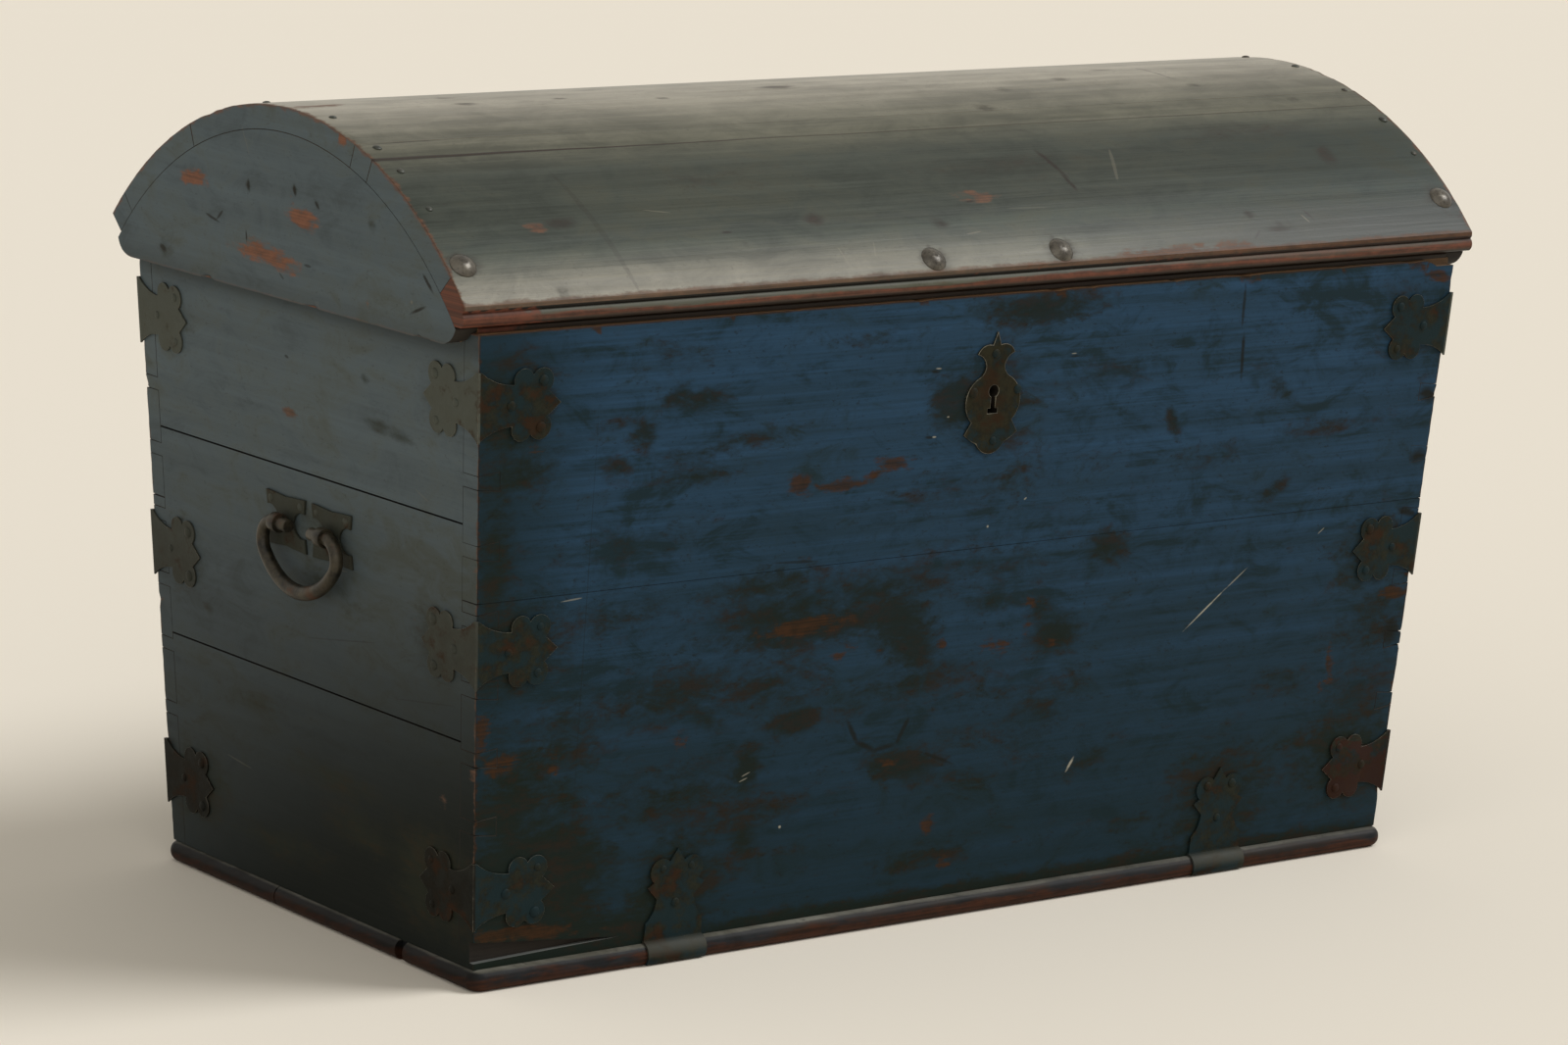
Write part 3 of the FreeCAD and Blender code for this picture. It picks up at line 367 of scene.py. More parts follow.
# green-grey satin lid: marks are x, the way round the dome from its crown, and so on
lidPaint = {
    "seed": 23.0, "paint": ((32, 44, 40), (63, 77, 73)), "paintGreen": (54, 55, 36),
    "paintedShadeTone": (25, 30, 24), "greening": 0.7, "streaks": 1.6, "mottle": 1.7, "flecks": 0.25,
    # the faded and dust tones give paler paint, partly a painted highlight and sheen
    "fadedAndHighlight": ((64, 65, 53), (102, 101, 86)), "dust": ((118, 114, 101), (164, 158, 143)),
    "grimeAndShadow": ((30, 26, 18), (40, 27, 17)), "ragged": 0.6, "grimeAndShadowFrom": 0.32, "grimeAndShadowAmount": 0.85,
    "worn": ((58, 39, 28), (102, 70, 50)), "wornFrom": 0.42, "wornAmount": 0.9,
    "cut": (30, 23, 17), "scratch": (132, 126, 110),
    "rough": 0.36, "roughRange": 0.3, "bump": (0.0006, 0.4), "gloss": 0.18, "seam": -0.384,
    "grimeAndShadowMarks": [
        (-435, -245, 16, 6, 4, 1), (-176, -259, 10, 6, 0, 0.9), (-45, -274, 10, 8, 0, 0.8),
        (448, -220, 9, 16, -20, 0.9), (337, -302, 16, 6, 0, 0.85), (308, -286, 6, 5, 0, 0.9),
        (115, -111, 12, 8, 10, 0.7), (255, -45, 12, 6, 0, 0.8), (-134, -322, 8, 6, 0, 0.9),
        (-467, -318, 7, 7, 0, 0.9), (-305, -296, 6, 5, 0, 0.8), (-262, -282, 5, 5, 0, 0.7),
        (-250, -200, 120, 14, 2, 0.4), (60, -210, 150, 18, -2, 0.4), (360, -180, 120, 20, 2, 0.45),
        (479, -128, 8, 5, 0, 0.8), (-399, -30, 12, 5, 0, 1), (-300, -26, 8, 4, 0, 0.9), (-200, -44, 6, 4, 0, 0.9),
        (-60, -20, 20, 5, 4, 1), (90, -18, 8, 4, 0, 0.9), (170, -70, 12, 7, 0, 0.8), (330, -16, 14, 4, 0, 0.9),
        (-399, 4, 14, 8, 0, 0.7), (-243, 12, 18, 6, 0, 0.7), (-60, -30, 30, 6, 0, 0.6), (390, -83, 8, 5, 0, 0.8),
        # the round marks at ±72 and ±551 are painted shadow rings round the rivets
        (-72, -311, 15, 15, 0, 0.9), (72, -311, 15, 15, 0, 0.9), (-551, -283, 15, 15, 0, 0.9),
        (551, -283, 15, 15, 0, 0.9), (-120, 160, 90, 12, 3, 0.6), (240, 190, 110, 14, -2, 0.6),
        (-380, 240, 70, 12, 0, 0.6), (80, 280, 120, 10, 0, 0.6),
    ],
    "wornMarks": [
        (-540, -8, 30, 7, 4, 1), (-461, -248, 12, 6, 0, 1), (4, -240, 16, 6, 2, 0.8), (20, -246, 20, 7, 4, 0.85),
        (186, -325, 70, 9, 0, 1), (279, -322, 32, 8, 1, 1), (40, -327, 40, 5, 0, 0.7), (-134, -326, 20, 5, 0, 0.7),
        (-30, -327, 30, 5, 0, 0.6), (400, -326, 40, 5, 0, 0.65), (-467, -320, 8, 6, 0, 0.7),
        (-300, -327, 60, 4, 0, 0.5), (500, -327, 40, 5, 0, 0.7), (-200, 60, 24, 5, 0, 0.6), (310, 120, 30, 5, 0, 0.6),
    ],
    "cuts": [
        (-400, -250, 78, 3.2, 97, 0.24), (-274, -267, 7, 1.6, 0, 0.9), (2, -250, 7, 1.6, 4, 0.9),
        (122, -208, 26, 3.4, -74, 1), (126, -234, 16, 2.8, 100, 0.95), (378, -36, 34, 1.4, -84, 0.8),
        (378, -292, 9, 1.8, -58, 0.8), (305, -310, 8, 1.4, 40, 0.7), (-520, -118, 46, 1.0, 1, 0.85),
        (561, -306, 5, 1.5, 30, 0.8),
    ],
    "scratches": [
        (-332, -238, 14, 0.7, -12, 0.25), (-166, -302, 12, 0.7, 100, 0.3), (191, -215, 26, 2.0, 66, 0.2),
        (-14, -286, 9, 0.8, 6, 0.35), (372, -296, 6, 1.0, -58, 0.4), (-130, -296, 9, 0.7, 70, 0.3),
        (60, -262, 24, 0.6, -3, 0.15),
    ],
}


def domeFinish(name, spec):
    material, shader, place, x, y, z = newFinish(name)
    rise = z - trunk["domeCentre"]
    turn = y.maths("ARCTAN2", y, rise)
    flat = x.vector(turn * trunk["domeRadius"])
    chatter = flat.chatter(spec["seed"])
    fromSide = trunk["lidHalfWidth"] - abs(x)
    side = (fromSide + chatter * 0.016).step(0.0045, 0.0008)
    nose = (turn + chatter * 0.03).step(-0.843, -0.854) * 0.85
    wander = flat.noise((5, 0.2, 1), (spec["seed"], 9, 0), 3, 0.6)
    fromSeam = turn - spec["seam"] + (wander - 0.5) * 0.02
    seam = (abs(fromSeam) - x.step(-0.3, -0.55) * 0.004).step(0.0042, 0.0008) * (0.38 + x.step(0.1, -0.5) * 0.6)
    low = turn.step(-0.64, -0.83)
    # painted highlight on the low front band, strongest at the left
    highlightLowLeft = low * x.step(0.45, -0.35)
    # paler above the seam by fading and by a painted sheen, with painted highlight on the low band and over the left
    # part
    fadedAndHighlight = (fromSeam.step(-0.13, 0.02) * 0.85).most(fromSeam.step(-0.002, 0.003)) * turn.step(0.66, 0.4)
    fadedAndHighlight = fadedAndHighlight.most(highlightLowLeft * 0.8).most(x.step(0.5, 0.15) * 0.2)
    # dust and a painted sheen about the crown, and more painted highlight low down at the left
    dust = abs(turn).step(0.37, -0.02).most(highlightLowLeft * turn.step(-0.73, -0.84) * 0.55)
    # painted shade on the low right and on the middle band
    paintedShade = (low * x.step(-0.1, 0.4) * 0.8).most(turn.step(-0.79, -0.62) * turn.step(-0.26, -0.46) * 0.5)
    agedPaint(shader, spec, flat, side.most(nose), paintedShade, (fadedAndHighlight, dust), seam)
    return material


lidEndPaint = dict(endPaint, **{
    "seed": 31.0, "paintedShadeTone": (50, 53, 50), "worn": ((90, 62, 47), (130, 87, 65)),
    "grimeAndShadowMarks": [
        (-22, 657, 5, 5, 0, 1), (53, 651, 5, 6, 10, 1), (-145, 643, 7, 5, 10, 0.9), (195, 577, 6, 5, 0, 0.9),
        (8, 634, 9, 5, 0, 0.7), (-58, 649, 5, 4, 20, 0.9), (190, 580, 18, 22, 0, 0.5), (-120, 600, 50, 12, 5, 0.4),
        (90, 690, 40, 8, -10, 0.5), (-60, 690, 50, 8, 12, 0.4),
    ],
    "wornMarks": [
        (141, 647, 23, 8, -3, 1), (-34, 633, 28, 9, 3, 1), (26, 595, 52, 10, 3, 1), (-15, 651, 8, 5, 0, 0.6),
        (-140, 576, 6, 6, 0, 0.7),
    ],
    "cuts": [
        (112, 615, 15, 1.6, 12, 0.8), (55, 607, 6, 1.6, 80, 0.8), (-218, 583, 15, 1.8, -22, 0.9),
        (-45, 595, 6, 1.4, 0, 0.6), (-4, 580, 5, 1.4, 30, 0.5), (-232, 607, 12, 2.2, 40, 0.9),
        (-22, 657, 6, 3, 70, 0.85), (53, 651, 6, 3, 80, 0.85), (-58, 649, 6, 2, 40, 0.8), (195, 577, 7, 3, 20, 0.7),
        (100, 619, 8, 1.8, -40, 0.8),
    ],
    "scratches": [(-208, 588, 2, 2, 0, 0.6), (60, 690, 14, 0.8, 60, 0.25)],
})


def lidEndFinish(name, spec):
    material, shader, place, x, y, z = newFinish(name)
    flat = endsFlat(x, y, z)
    rise = z - trunk["domeCentre"]
    squared = y * y + rise * rise
    chatter = flat.chatter(spec["seed"])
    fromTop = trunk["domeRadius"] - squared.maths("SQRT", squared)
    foot = z - trunk["lidFoot"] + chatter * 0.006
    arris = (fromTop + chatter * 0.014).step(0.0036, 0.0006)
    # darker towards its foot as painted shade
    agedPaint(shader, spec, flat, (foot.step(0.0026, 0.0006) * 0.2).most(arris * 0.65), foot.step(0.03, 0.0) * 0.3)
    return material


# front edge of the lid: a lip, a quirk darkened as painted shade, a rubbed bead and painted shade below it
beadPaint = dict(lidPaint, **{
    "seed": 29.0, "paint": ((58, 58, 50), (94, 94, 84)), "paintedShadeTone": (16, 12, 9),
    "worn": ((54, 29, 20), (112, 63, 45)), "wornFrom": 0.3, "rough": 0.46, "gloss": 0.2,
    "lip": 0.5922, "beadTop": 0.5892, "beadMiddle": 0.5848, "beadLow": 0.5800, "cuts": [], "scratches": [],
    "grimeAndShadowMarks": [], "wornMarks": [(-540, 588, 40, 30, 0, 1)],
})


def beadFinish(name, spec):
    material, shader, place, x, y, z = newFinish(name)
    flat = x.vector(z)
    patches = flat.noise((9, 90, 1), (spec["seed"], 3, 0), 5, 0.65, 0.3)
    quirk = z.step(spec["lip"] + 0.0006, spec["lip"] - 0.0006) * z.step(spec["beadTop"] - 0.0012, spec["beadTop"])
    low = (z + (patches - 0.5) * 0.003).step(spec["beadLow"] + 0.0022, spec["beadLow"] - 0.001)
    band = (z + (patches - 0.5) * 0.016).step(spec["beadMiddle"] + 0.0016, spec["beadMiddle"] - 0.001)
    lip = (z + (patches - 0.5) * 0.012).step(spec["lip"] - 0.0004, spec["lip"] + 0.0016)
    tip = (abs(x) + (patches - 0.5) * 0.09).step(0.545, 0.57)
    rub = (band.most(lip).most(tip) + x.step(0.05, 0.35) * patches).clamp() * (1 - quirk * 0.8) * (1 - low * 0.9)
    # the quirk and the gap below the bead are darkened as painted shade
    agedPaint(shader, spec, flat, rub * 0.95, (quirk * 0.95).most(low * 0.85))
    return material


# nose of the floor boards, rubbed and scuffed, with a painted highlight along its top and painted shade below
nosePaint = dict(frontPaint, **{
    "seed": 41.0, "paint": ((20, 20, 20), (40, 45, 50)), "paintGreen": (36, 27, 18),
    "paintedShadeTone": (16, 12, 8), "grimeAndShadow": ((26, 19, 13), (34, 21, 12)),
    "worn": ((36, 20, 11), (74, 41, 24)), "wornFrom": 0.2,
    # pale tones for the painted highlight along the top of the nose
    "fadedAndHighlight": ((54, 55, 52), (80, 82, 80)), "dust": ((84, 82, 73), (128, 126, 116)),
    "rough": 0.46, "roughRange": 0.3, "gloss": 0.09, "cuts": [], "scratches": [],
})


def noseFinish(name, spec):
    material, shader, place, x, y, z = newFinish(name)
    flat = (x + y).vector(z + y * 0.3)
    chatter = flat.noise((11, 60, 1), (spec["seed"], 7, 0), 5, 0.7)
    fromFace, fromEnd, lean = carcassDepths(x, y, z)
    onSide = fromEnd.step(0.004, -0.004)
    # worn brown low down, made browner also as a painted reflection of a brown floor
    rub = (chatter + (0.0125 - z) * 26).step(0.46, 0.62) * (0.9 - onSide * 0.35)
    # a painted highlight along the top of the nose, strongest at the left
    edge = (z + (chatter - 0.5) * 0.003).step(0.0163, 0.0182) * (0.4 + x.step(0.2, -0.45) * 0.4) * (1 - onSide * 0.7)
    # painted shade low on the nose and on its ends
    agedPaint(shader, spec, flat, rub, (z.step(0.009, 0.001) * 0.8).most(onSide * 0.6), (edge, edge))
    return material


# bare boards inside, brown with age, dark walls of joints, and grey split wood
oldWood = {"pale": (126, 94, 62), "dark": (84, 58, 36), "dust": (92, 80, 64)}
darkWood = {"pale": (40, 33, 26), "dark": (18, 14, 11), "dust": (58, 54, 48)}
greyWood = {"pale": (128, 130, 124), "dark": (72, 76, 76), "dust": (98, 100, 96)}


def bareFinish(name, spec, alongY, seed):
    material, shader, place, x, y, z = newFinish(name)
    flat = (y if alongY else x).vector(z + (x if alongY else y))
    wave = flat.noise((2.5, 55, 1), (seed, 0, 0), 3, 0.5, 0.4)
    fine = flat.noise((14, 600, 1), (seed, 3, 0), 3, 0.6)
    dust = flat.noise((5, 12, 1), (2, seed, 0), 5, 0.6)
    wood = (wave * 0.75 + fine * 0.35).step(0.3, 0.8).mix(spec["pale"], spec["dark"])
    wood = (dust.step(0.42, 0.75) * 0.6).mix(wood, spec["dust"])
    wireUp(shader, wood, 0.62 + fine * 0.25, 0.25, fine * 0.5 + wave * 0.5, 0.0006, 0.4)
    return material


# wrought iron: painted over on the chest, rubbed on the handles
strapIron = {
    "seed": 5.0, "iron": ((16, 17, 11), (37, 39, 30)), "rust": (50, 32, 19), "rustFrom": 0.53,
    "over": (22, 39, 43), "overFrom": 0.55, "wrap": (70, 70, 64), "rustCorner": (46, 23, 13),
    "endTopLit": (78, 81, 73), "endFootShade": (21, 17, 10), "onEnds": 0.85,
    "rough": 0.56, "metal": 0.05, "gloss": 0.08,
}
plateIron = dict(strapIron, seed=19.0, endTopLit=(62, 64, 55))
lockIron = dict(strapIron, seed=35.0, iron=((20, 20, 12), (40, 38, 25)), rust=(44, 29, 16),
                rustFrom=0.52, overFrom=0.52)
looseIron = dict(strapIron, onEnds=0.0)
# rims rubbed to bright metal, and painted paler as a highlight too
rimIronRubbedAndHighlit = dict(looseIron, seed=21.0, iron=((30, 30, 25), (128, 123, 108)), rust=(27, 26, 17),
               rustFrom=0.45, rough=0.34, metal=0.4, gloss=0.5)
nailIron = dict(looseIron, seed=25.0, iron=((34, 37, 31), (58, 62, 54)), rough=0.4, metal=0.2, gloss=0.4)
bailIron = dict(looseIron, seed=9.0, iron=((19, 18, 14), (66, 60, 47)), rust=(74, 46, 29),
                rough=0.42, metal=0.3, gloss=0.35)
rivetIron = dict(looseIron, seed=13.0, iron=((52, 48, 42), (96, 91, 81)), rust=(64, 46, 34),
                 rustFrom=0.6, rough=0.3, metal=0.5, gloss=0.6)
insideIron = dict(looseIron, seed=17.0, iron=((38, 36, 33), (76, 73, 68)), rust=(82, 55, 38),
                  rough=0.48, metal=0.6, gloss=0.5)


def ironFinish(name, spec):
    material, shader, place, x, y, z = newFinish(name)
    seed = spec["seed"]
    hammer = place.noise((70, 70, 70), (seed, 0, 0), 4, 0.6)
    pits = place.noise((380, 380, 380), (0, seed, 0), 3, 0.6)
    rustField = place.noise((30, 30, 38), (0, 0, seed), 5, 0.65)
    colour = (hammer * 0.8 + pits * 0.4).step(0.38, 0.82).mix(*spec["iron"])
    if spec["onEnds"]:
        fromFace, fromEnd, lean = carcassDepths(x, y, z)
        over = hammer * 0.4 + rustField * 0.6
        colour = (over.step(spec["overFrom"], spec["overFrom"] - 0.12) * 0.85).mix(colour, spec["over"])
        # on the ends the straps take the end's slate, paler at the top and painted darker towards the foot as shade
        slateShadedDown = (lean.step(0.05, 0.95) + (hammer - 0.5) * 0.4).clamp().mix(spec["endTopLit"], spec["endFootShade"])
        colour = (fromEnd.step(0.0006, 0.0) * spec["onEnds"]).mix(colour, slateShadedDown)
    rust = rustField.step(spec["rustFrom"], spec["rustFrom"] + 0.14)
    colour = (rust * 0.75).mix(colour, spec["rust"])
    if spec["onEnds"]:  # bare where it wraps the nose, and rustiest at one corner
        low = (z + (rustField - 0.5) * 0.5).step(0.125, 0.09)
        corner = fromEnd.step(-0.001, 0.001) * x.step(0.4, 0.43) * low
        colour = (corner * 0.8).mix(colour, spec["rustCorner"])
        colour = (z.step(0.023, 0.018) * z.step(0.005, 0.015) * 0.7).mix(colour, spec["wrap"])
    roughness = (spec["rough"] + (pits - 0.5) * 0.25 + rust * 0.2).clamp()
    wireUp(shader, colour, roughness, spec["gloss"], hammer * 0.7 + pits * 0.4, 0.0006, 0.5)
    shader.inputs["Metallic"].default_value = spec["metal"]
    return material


finishes = {
    "front": carcassFinish("frontPaint", frontPaint, False),
    "back": carcassFinish("backPaint", backPaint, False),
    "end": carcassFinish("endPaint", endPaint, True),
    "dome": domeFinish("lidPaint", lidPaint),
    "lidEnd": lidEndFinish("lidEndPaint", lidEndPaint),
    "bead": beadFinish("beadPaint", beadPaint),
    "nose": noseFinish("nosePaint", nosePaint),
    "bare": bareFinish("bareBoards", oldWood, False, 53.0),
    "bareEnd": bareFinish("bareEnds", oldWood, True, 59.0),
    "crack": bareFinish("darkJoints", darkWood, False, 67.0),
    "lip": bareFinish("splitWood", greyWood, False, 71.0),
}
irons = {"strap": strapIron, "plate": plateIron, "lock": lockIron, "bail": bailIron, "rivet": rivetIron,
         "inside": insideIron, "rim": rimIronRubbedAndHighlit, "nail": nailIron}
for kind, spec in irons.items():
    finishes[kind] = ironFinish(kind + "Iron", spec)

# boards with worn edges stand for the sharp ones: rule for the painted sides, slot, and axis of the grain
boardRules = {
    ("carcass", "front_paint", 0): ["front_board_upper", "front_board_lower"],
    ("carcass", "end_paint", 0): ["back_board_upper", "back_board_lower"],
    ("carcass", "end_paint", 1): [side + "_end_board_" + part for side in ("left", "right")
                                  for part in ("top", "middle", "bottom")],
    ("floor", "front_paint", 0): ["floor_board_front", "floor_board_middle", "floor_board_rear"],
    ("stave", "lid_paint", 0): ["lid_front_stave", "lid_ridge_strip", "lid_top_stave", "lid_back_stave",
                                "lid_back_moulding"],
    ("moulding", "lid_paint", 0): ["lid_front_moulding"],
    ("lidEnd", "lid_paint", 1): ["lid_end_left", "lid_end_right"],
    ("frontRail", "bare_wood", 0): ["lid_front_rail"],
    ("rail", "bare_wood", 0): ["lid_back_rail"],
}
boards = {node: rule for rule, names in boardRules.items() for node in names}
wear = {
    "weld": 2e-5, "flat": 0.5, "turn": 35, "smooth": 14,  # clean mesh
    "ease": 0.0012, "cut": 0.007, "sample": 0.003, "reach": 0.006, "dent": 0.0007, "dentSize": 130,
    "chip": 0.0045, "chipFrom": 0.3, "chipSize": 38, "seedStep": 3.7,
    "bareReach": 0.0025, "bareGain": 3, "bareMost": 0.7,  # paint lost at chips
    "skin": 0.0015, "joint": 0.0004, "jointLength": 0.12, "jointMark": 50, "shut": 0.014, "close": 0.0003,
    "splinter": (-0.34, 0.062, 0.016), "keyhole": (0.02, 0.477, 0.03), "nose": 0.012, "lidBack": 0.02,
}


def roundDome(spot):
    return math.atan2(spot.y, spot.z - trunk["domeCentre"]) * trunk["domeRadius"]


def onBoards(spot):
    return spot.x, spot.z


def onSides(spot):
    return spot.y if spot.x < 0 else -spot.y, spot.z


markPlaces = {
    "front": (frontPaint, onBoards), "back": (backPaint, onBoards), "bead": (beadPaint, onBoards),
    "end": (endPaint, onSides), "lidEnd": (lidEndPaint, onSides),
    "dome": (lidPaint, lambda spot: (spot.x, roundDome(spot * mm) / mm)),
}


def fromCrown(spot):
    return trunk["domeRadius"] - math.hypot(spot.y, spot.z - trunk["domeCentre"])


def sideFinish(rule, along, spot, normal):  # which finish a face of a board has
    skin = wear["skin"]
    bare = "bareEnd" if along else "bare"
    fromFace, fromEnd, lean = carcassDepths(*spot)
    atTip = abs(spot.x) > trunk["lidHalfWidth"] - skin and abs(normal.x) > 0.6
    outward = normal.y * spot.y + normal.z * (spot.z - trunk["domeCentre"]) > 0
    if rule == "carcass":
        if fromFace < skin and abs(normal.y) > 0.3 and abs(normal.y) >= abs(normal.x):
            return "front" if spot.y < 0 else "back"
        if fromEnd < skin and abs(normal.x) > 0.3:
            return "end"
        halfWide, middle, halfHigh = wear["keyhole"]
        atKeyhole = abs(spot.x) < halfWide and abs(spot.z - middle) < halfHigh
        if atKeyhole and spot.y < 0 and abs(normal.y) < 0.5:
            return "crack"
        tip, top, deep = wear["splinter"]
        # the walls of the split are painted dark as its shade
        if fromFace < deep and spot.x < tip and spot.z < top:  # a grey lip under a dark split
            return "lip" if normal.z > 0.3 else "crack"
        return bare
    if rule == "floor":
        return bare if abs(normal.z) > 0.5 and min(fromFace, fromEnd) > wear["nose"] else "nose"
    if rule in ("stave", "moulding") and fromCrown(spot) < skin and outward and not atTip:
        return "dome"
    atBack = normal.y > 0.3 and spot.y > trunk["halfDepth"] - wear["lidBack"]
    if atTip or rule in ("stave", "rail") and atBack:
        return "bead" if rule == "moulding" else "lidEnd"
    if rule == "stave":
        return bare
    if rule == "lidEnd":
        if normal.y < -0.3 and spot.y < 0 and abs(normal.x) < 0.5:
            return "crack"
        return "lidEnd" if normal.x * spot.x > 0.1 or normal.z < -0.5 else bare
    # the front rail's face, in the gap under the bead, takes the bead finish, whose low part is painted shade
    if rule == "frontRail" and normal.y > -0.5:
        return bare
    return "bead" if rule in ("moulding", "frontRail") else bare


def middleOf(edge):
    return (edge.verts[0].co + edge.verts[1].co) / 2


def openJoint(rule, along, edge):  # an edge of a joint that shows on the painted side
    if edge.calc_length() > wear["jointLength"]:
        return False
    shown = set()
    for face in edge.link_faces:  # just inside the face from the edge
        spot = middleOf(edge).lerp(face.calc_center_median(), 0.02)
        shown.add(sideFinish(rule, along, spot, face.normal))
    return len(shown) == 2 and bool(shown & {"bare", "bareEnd"}) and bool(shown & {"front", "back", "end", "lidEnd"})


def outerArris(rule, spot):  # whether an edge stands free and so gets worn
    skin = wear["skin"]
    fromFace, fromEnd, lean = carcassDepths(*spot)
    if rule == "carcass":
        atRim = spot.z > trunk["rim"] - skin
        return fromFace < skin and fromEnd < skin or atRim and min(fromFace, fromEnd) < skin
    if rule in ("stave", "moulding"):
        return abs(spot.x) > trunk["lidHalfWidth"] - skin and fromCrown(spot) < skin
    return rule == "lidEnd" and spot.z < trunk["lidFoot"] + skin and abs(spot.x) > trunk["halfWidth"]


def markField(marks, across, up):  # 1 at the middle of a mark, a half at its edge
    best = 0.0
    for x, z, halfLong, halfHigh, turn, strength in marks:
        reach = 2 * max(halfLong, halfHigh)
        if abs(across - x) < reach and abs(up - z) < reach:
            cosine, sine = turned(turn)
            along = ((across - x) * cosine + (up - z) * sine) / halfLong
            aside = ((up - z) * cosine - (across - x) * sine) / halfHigh
            best = max(best, strength * (1 - math.hypot(along, aside) / 2))
    return best


def sliced(shape, spot, normal):
    everything = shape.verts[:] + shape.edges[:] + shape.faces[:]
    bmesh.ops.bisect_plane(shape, geom=everything, dist=1e-6, plane_co=spot, plane_no=normal)


def slicedBoard(shape, rule, along):  # small faces, so that wear and marks have points to sit on
    for axis in (along, 2) if rule in ("carcass", "lidEnd") else (along,):
        low = min(v.co[axis] for v in shape.verts)
        high = max(v.co[axis] for v in shape.verts)
        normal = Vector((axis == 0, axis == 1, axis == 2))
        for index in range(1, int((high - low) / wear["cut"])):
            sliced(shape, normal * (low + index * wear["cut"]), normal)
    if rule == "stave":
        turns = [roundDome(v.co) / wear["cut"] for v in shape.verts]
        for index in range(math.ceil(min(turns)), math.ceil(max(turns))):
            turn = index * wear["cut"] / trunk["domeRadius"]
            sliced(shape, Vector((0, 0, trunk["domeCentre"])), Vector((0, math.cos(turn), -math.sin(turn))))


def edgeTree(edges):  # finds the nearest place on a worn edge
    spots = []
    for e in edges:
        count = max(1, int(e.calc_length() / wear["sample"]))
        spots += [e.verts[0].co.lerp(e.verts[1].co, index / count) for index in range(count + 1)]
    tree = KDTree(len(spots))
    for index, spot in enumerate(spots):
        tree.insert(spot, index)
    tree.balance()
    return tree


def sharpEdges(shape, wanted):
    return [e for e in shape.edges if len(e.link_faces) == 2
            and e.calc_face_angle(0) > math.radians(wear["turn"]) and wanted(e)]


def wornBoard(node, rule, along, seed):
    shape = bmesh.new()
    shape.from_mesh(nodes[node].data)
    grimeAndShadow = shape.verts.layers.float.new("grimeAndShadow")
    worn = shape.verts.layers.float.new("worn")
    bmesh.ops.remove_doubles(shape, verts=shape.verts, dist=wear["weld"])
    bmesh.ops.dissolve_limit(shape, angle_limit=math.radians(wear["flat"]), verts=shape.verts, edges=shape.edges)
    arris = sharpEdges(shape, lambda e: outerArris(rule, middleOf(e)))
    tree = edgeTree(arris)
    if arris:
        bmesh.ops.bevel(shape, geom=arris, offset=wear["ease"], segments=2, profile=0.5, affect="EDGES",
                        clamp_overlap=True)
    shape.normal_update()
    joints = sharpEdges(shape, lambda e: openJoint(rule, along, e))
    if joints:
        bmesh.ops.bevel(shape, geom=joints, offset=wear["joint"], segments=1, affect="EDGES", clamp_overlap=True,
                        material=wear["jointMark"])
    slicedBoard(shape, rule, along)
    shape.normal_update()

    names = []
    for face in shape.faces:
        spot = face.calc_center_median()
        name = sideFinish(rule, along, spot, face.normal)
        nearFace = min(carcassDepths(*spot)[:2]) < wear["shut"] and spot.z < trunk["rim"] - wear["shut"]
        inJoint = rule == "carcass" and nearFace and name in ("bare", "bareEnd")
        if face.material_index == wear["jointMark"] or inJoint:
            name = "crack"
        if name not in names:
            names.append(name)
        face.material_index = names.index(name)
        face.smooth = True
    moves = {}
    for v in shape.verts:
        shown = [names[face.material_index] for face in v.link_faces]
        name = next((each for each in shown if each in markPlaces), None)
        if name:
            spec, flatten = markPlaces[name]
            across, up = flatten(v.co / mm)
            v[grimeAndShadow] = markField(spec["grimeAndShadowMarks"], across, up)
            v[worn] = markField(spec["wornMarks"], across, up)
        near, index, distance = tree.find(v.co) if arris else (None, None, 1)
        if distance < wear["reach"]:
            fade = 1 - distance / wear["reach"]
            rough = noise.noise(v.co * wear["dentSize"] + Vector((0, seed, 0)))
            chip = noise.fractal(v.co * wear["chipSize"] + Vector((seed, 0, seed)), 0.9, 2.0, 3)
            chip = max(0.0, chip - wear["chipFrom"])
            moves[v] = v.normal * fade * (wear["dent"] * (0.5 + 0.5 * rough) + wear["chip"] * chip)
            if distance < wear["bareReach"]:
                v[worn] = max(v[worn], min(wear["bareMost"], chip * wear["bareGain"]))
    for v, move in moves.items():
        v.co -= move
    if rule == "moulding":  # its joint on the dome is filled with paint
        painted = [v for v in shape.verts if fromCrown(v.co) < wear["skin"]]
        top = max(roundDome(v.co) for v in painted)
        for v in painted:
            turn = roundDome(v.co) / trunk["domeRadius"]
            if roundDome(v.co) > top - wear["skin"]:
                v.co += Vector((0, math.cos(turn), -math.sin(turn))) * wear["close"]

    mesh = bpy.data.meshes.new("worn_" + node)
    shape.to_mesh(mesh)
    shape.free()
    mesh.set_sharp_from_angle(angle=math.radians(wear["smooth"]))
    for name in names:
        mesh.materials.append(finishes[name])
    piece = newObject("worn_" + node, mesh)
    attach(piece, bodyOf[node])
    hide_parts(node)


for number, (node, (rule, slot, along)) in enumerate(boards.items()):
    wornBoard(node, rule, along, number * wear["seedStep"])
print("boards:", len(boards))

# ironwork keeps its shape and gets eased edges
ironKinds = {"corner_strap": "strap", "foot_strap": "strap", "escutcheon": "lock", "left_handle_plate": "plate",
             "right_handle_plate": "plate", "left_handle": "bail", "right_handle": "bail", "lid_rivets": "rivet",
             "hinge": "inside", "lock": "inside", "lid_hasp": "inside"}
ironEase = {"weld": 2e-5, "flat": 0.6, "width": 0.0007, "turn": 32}


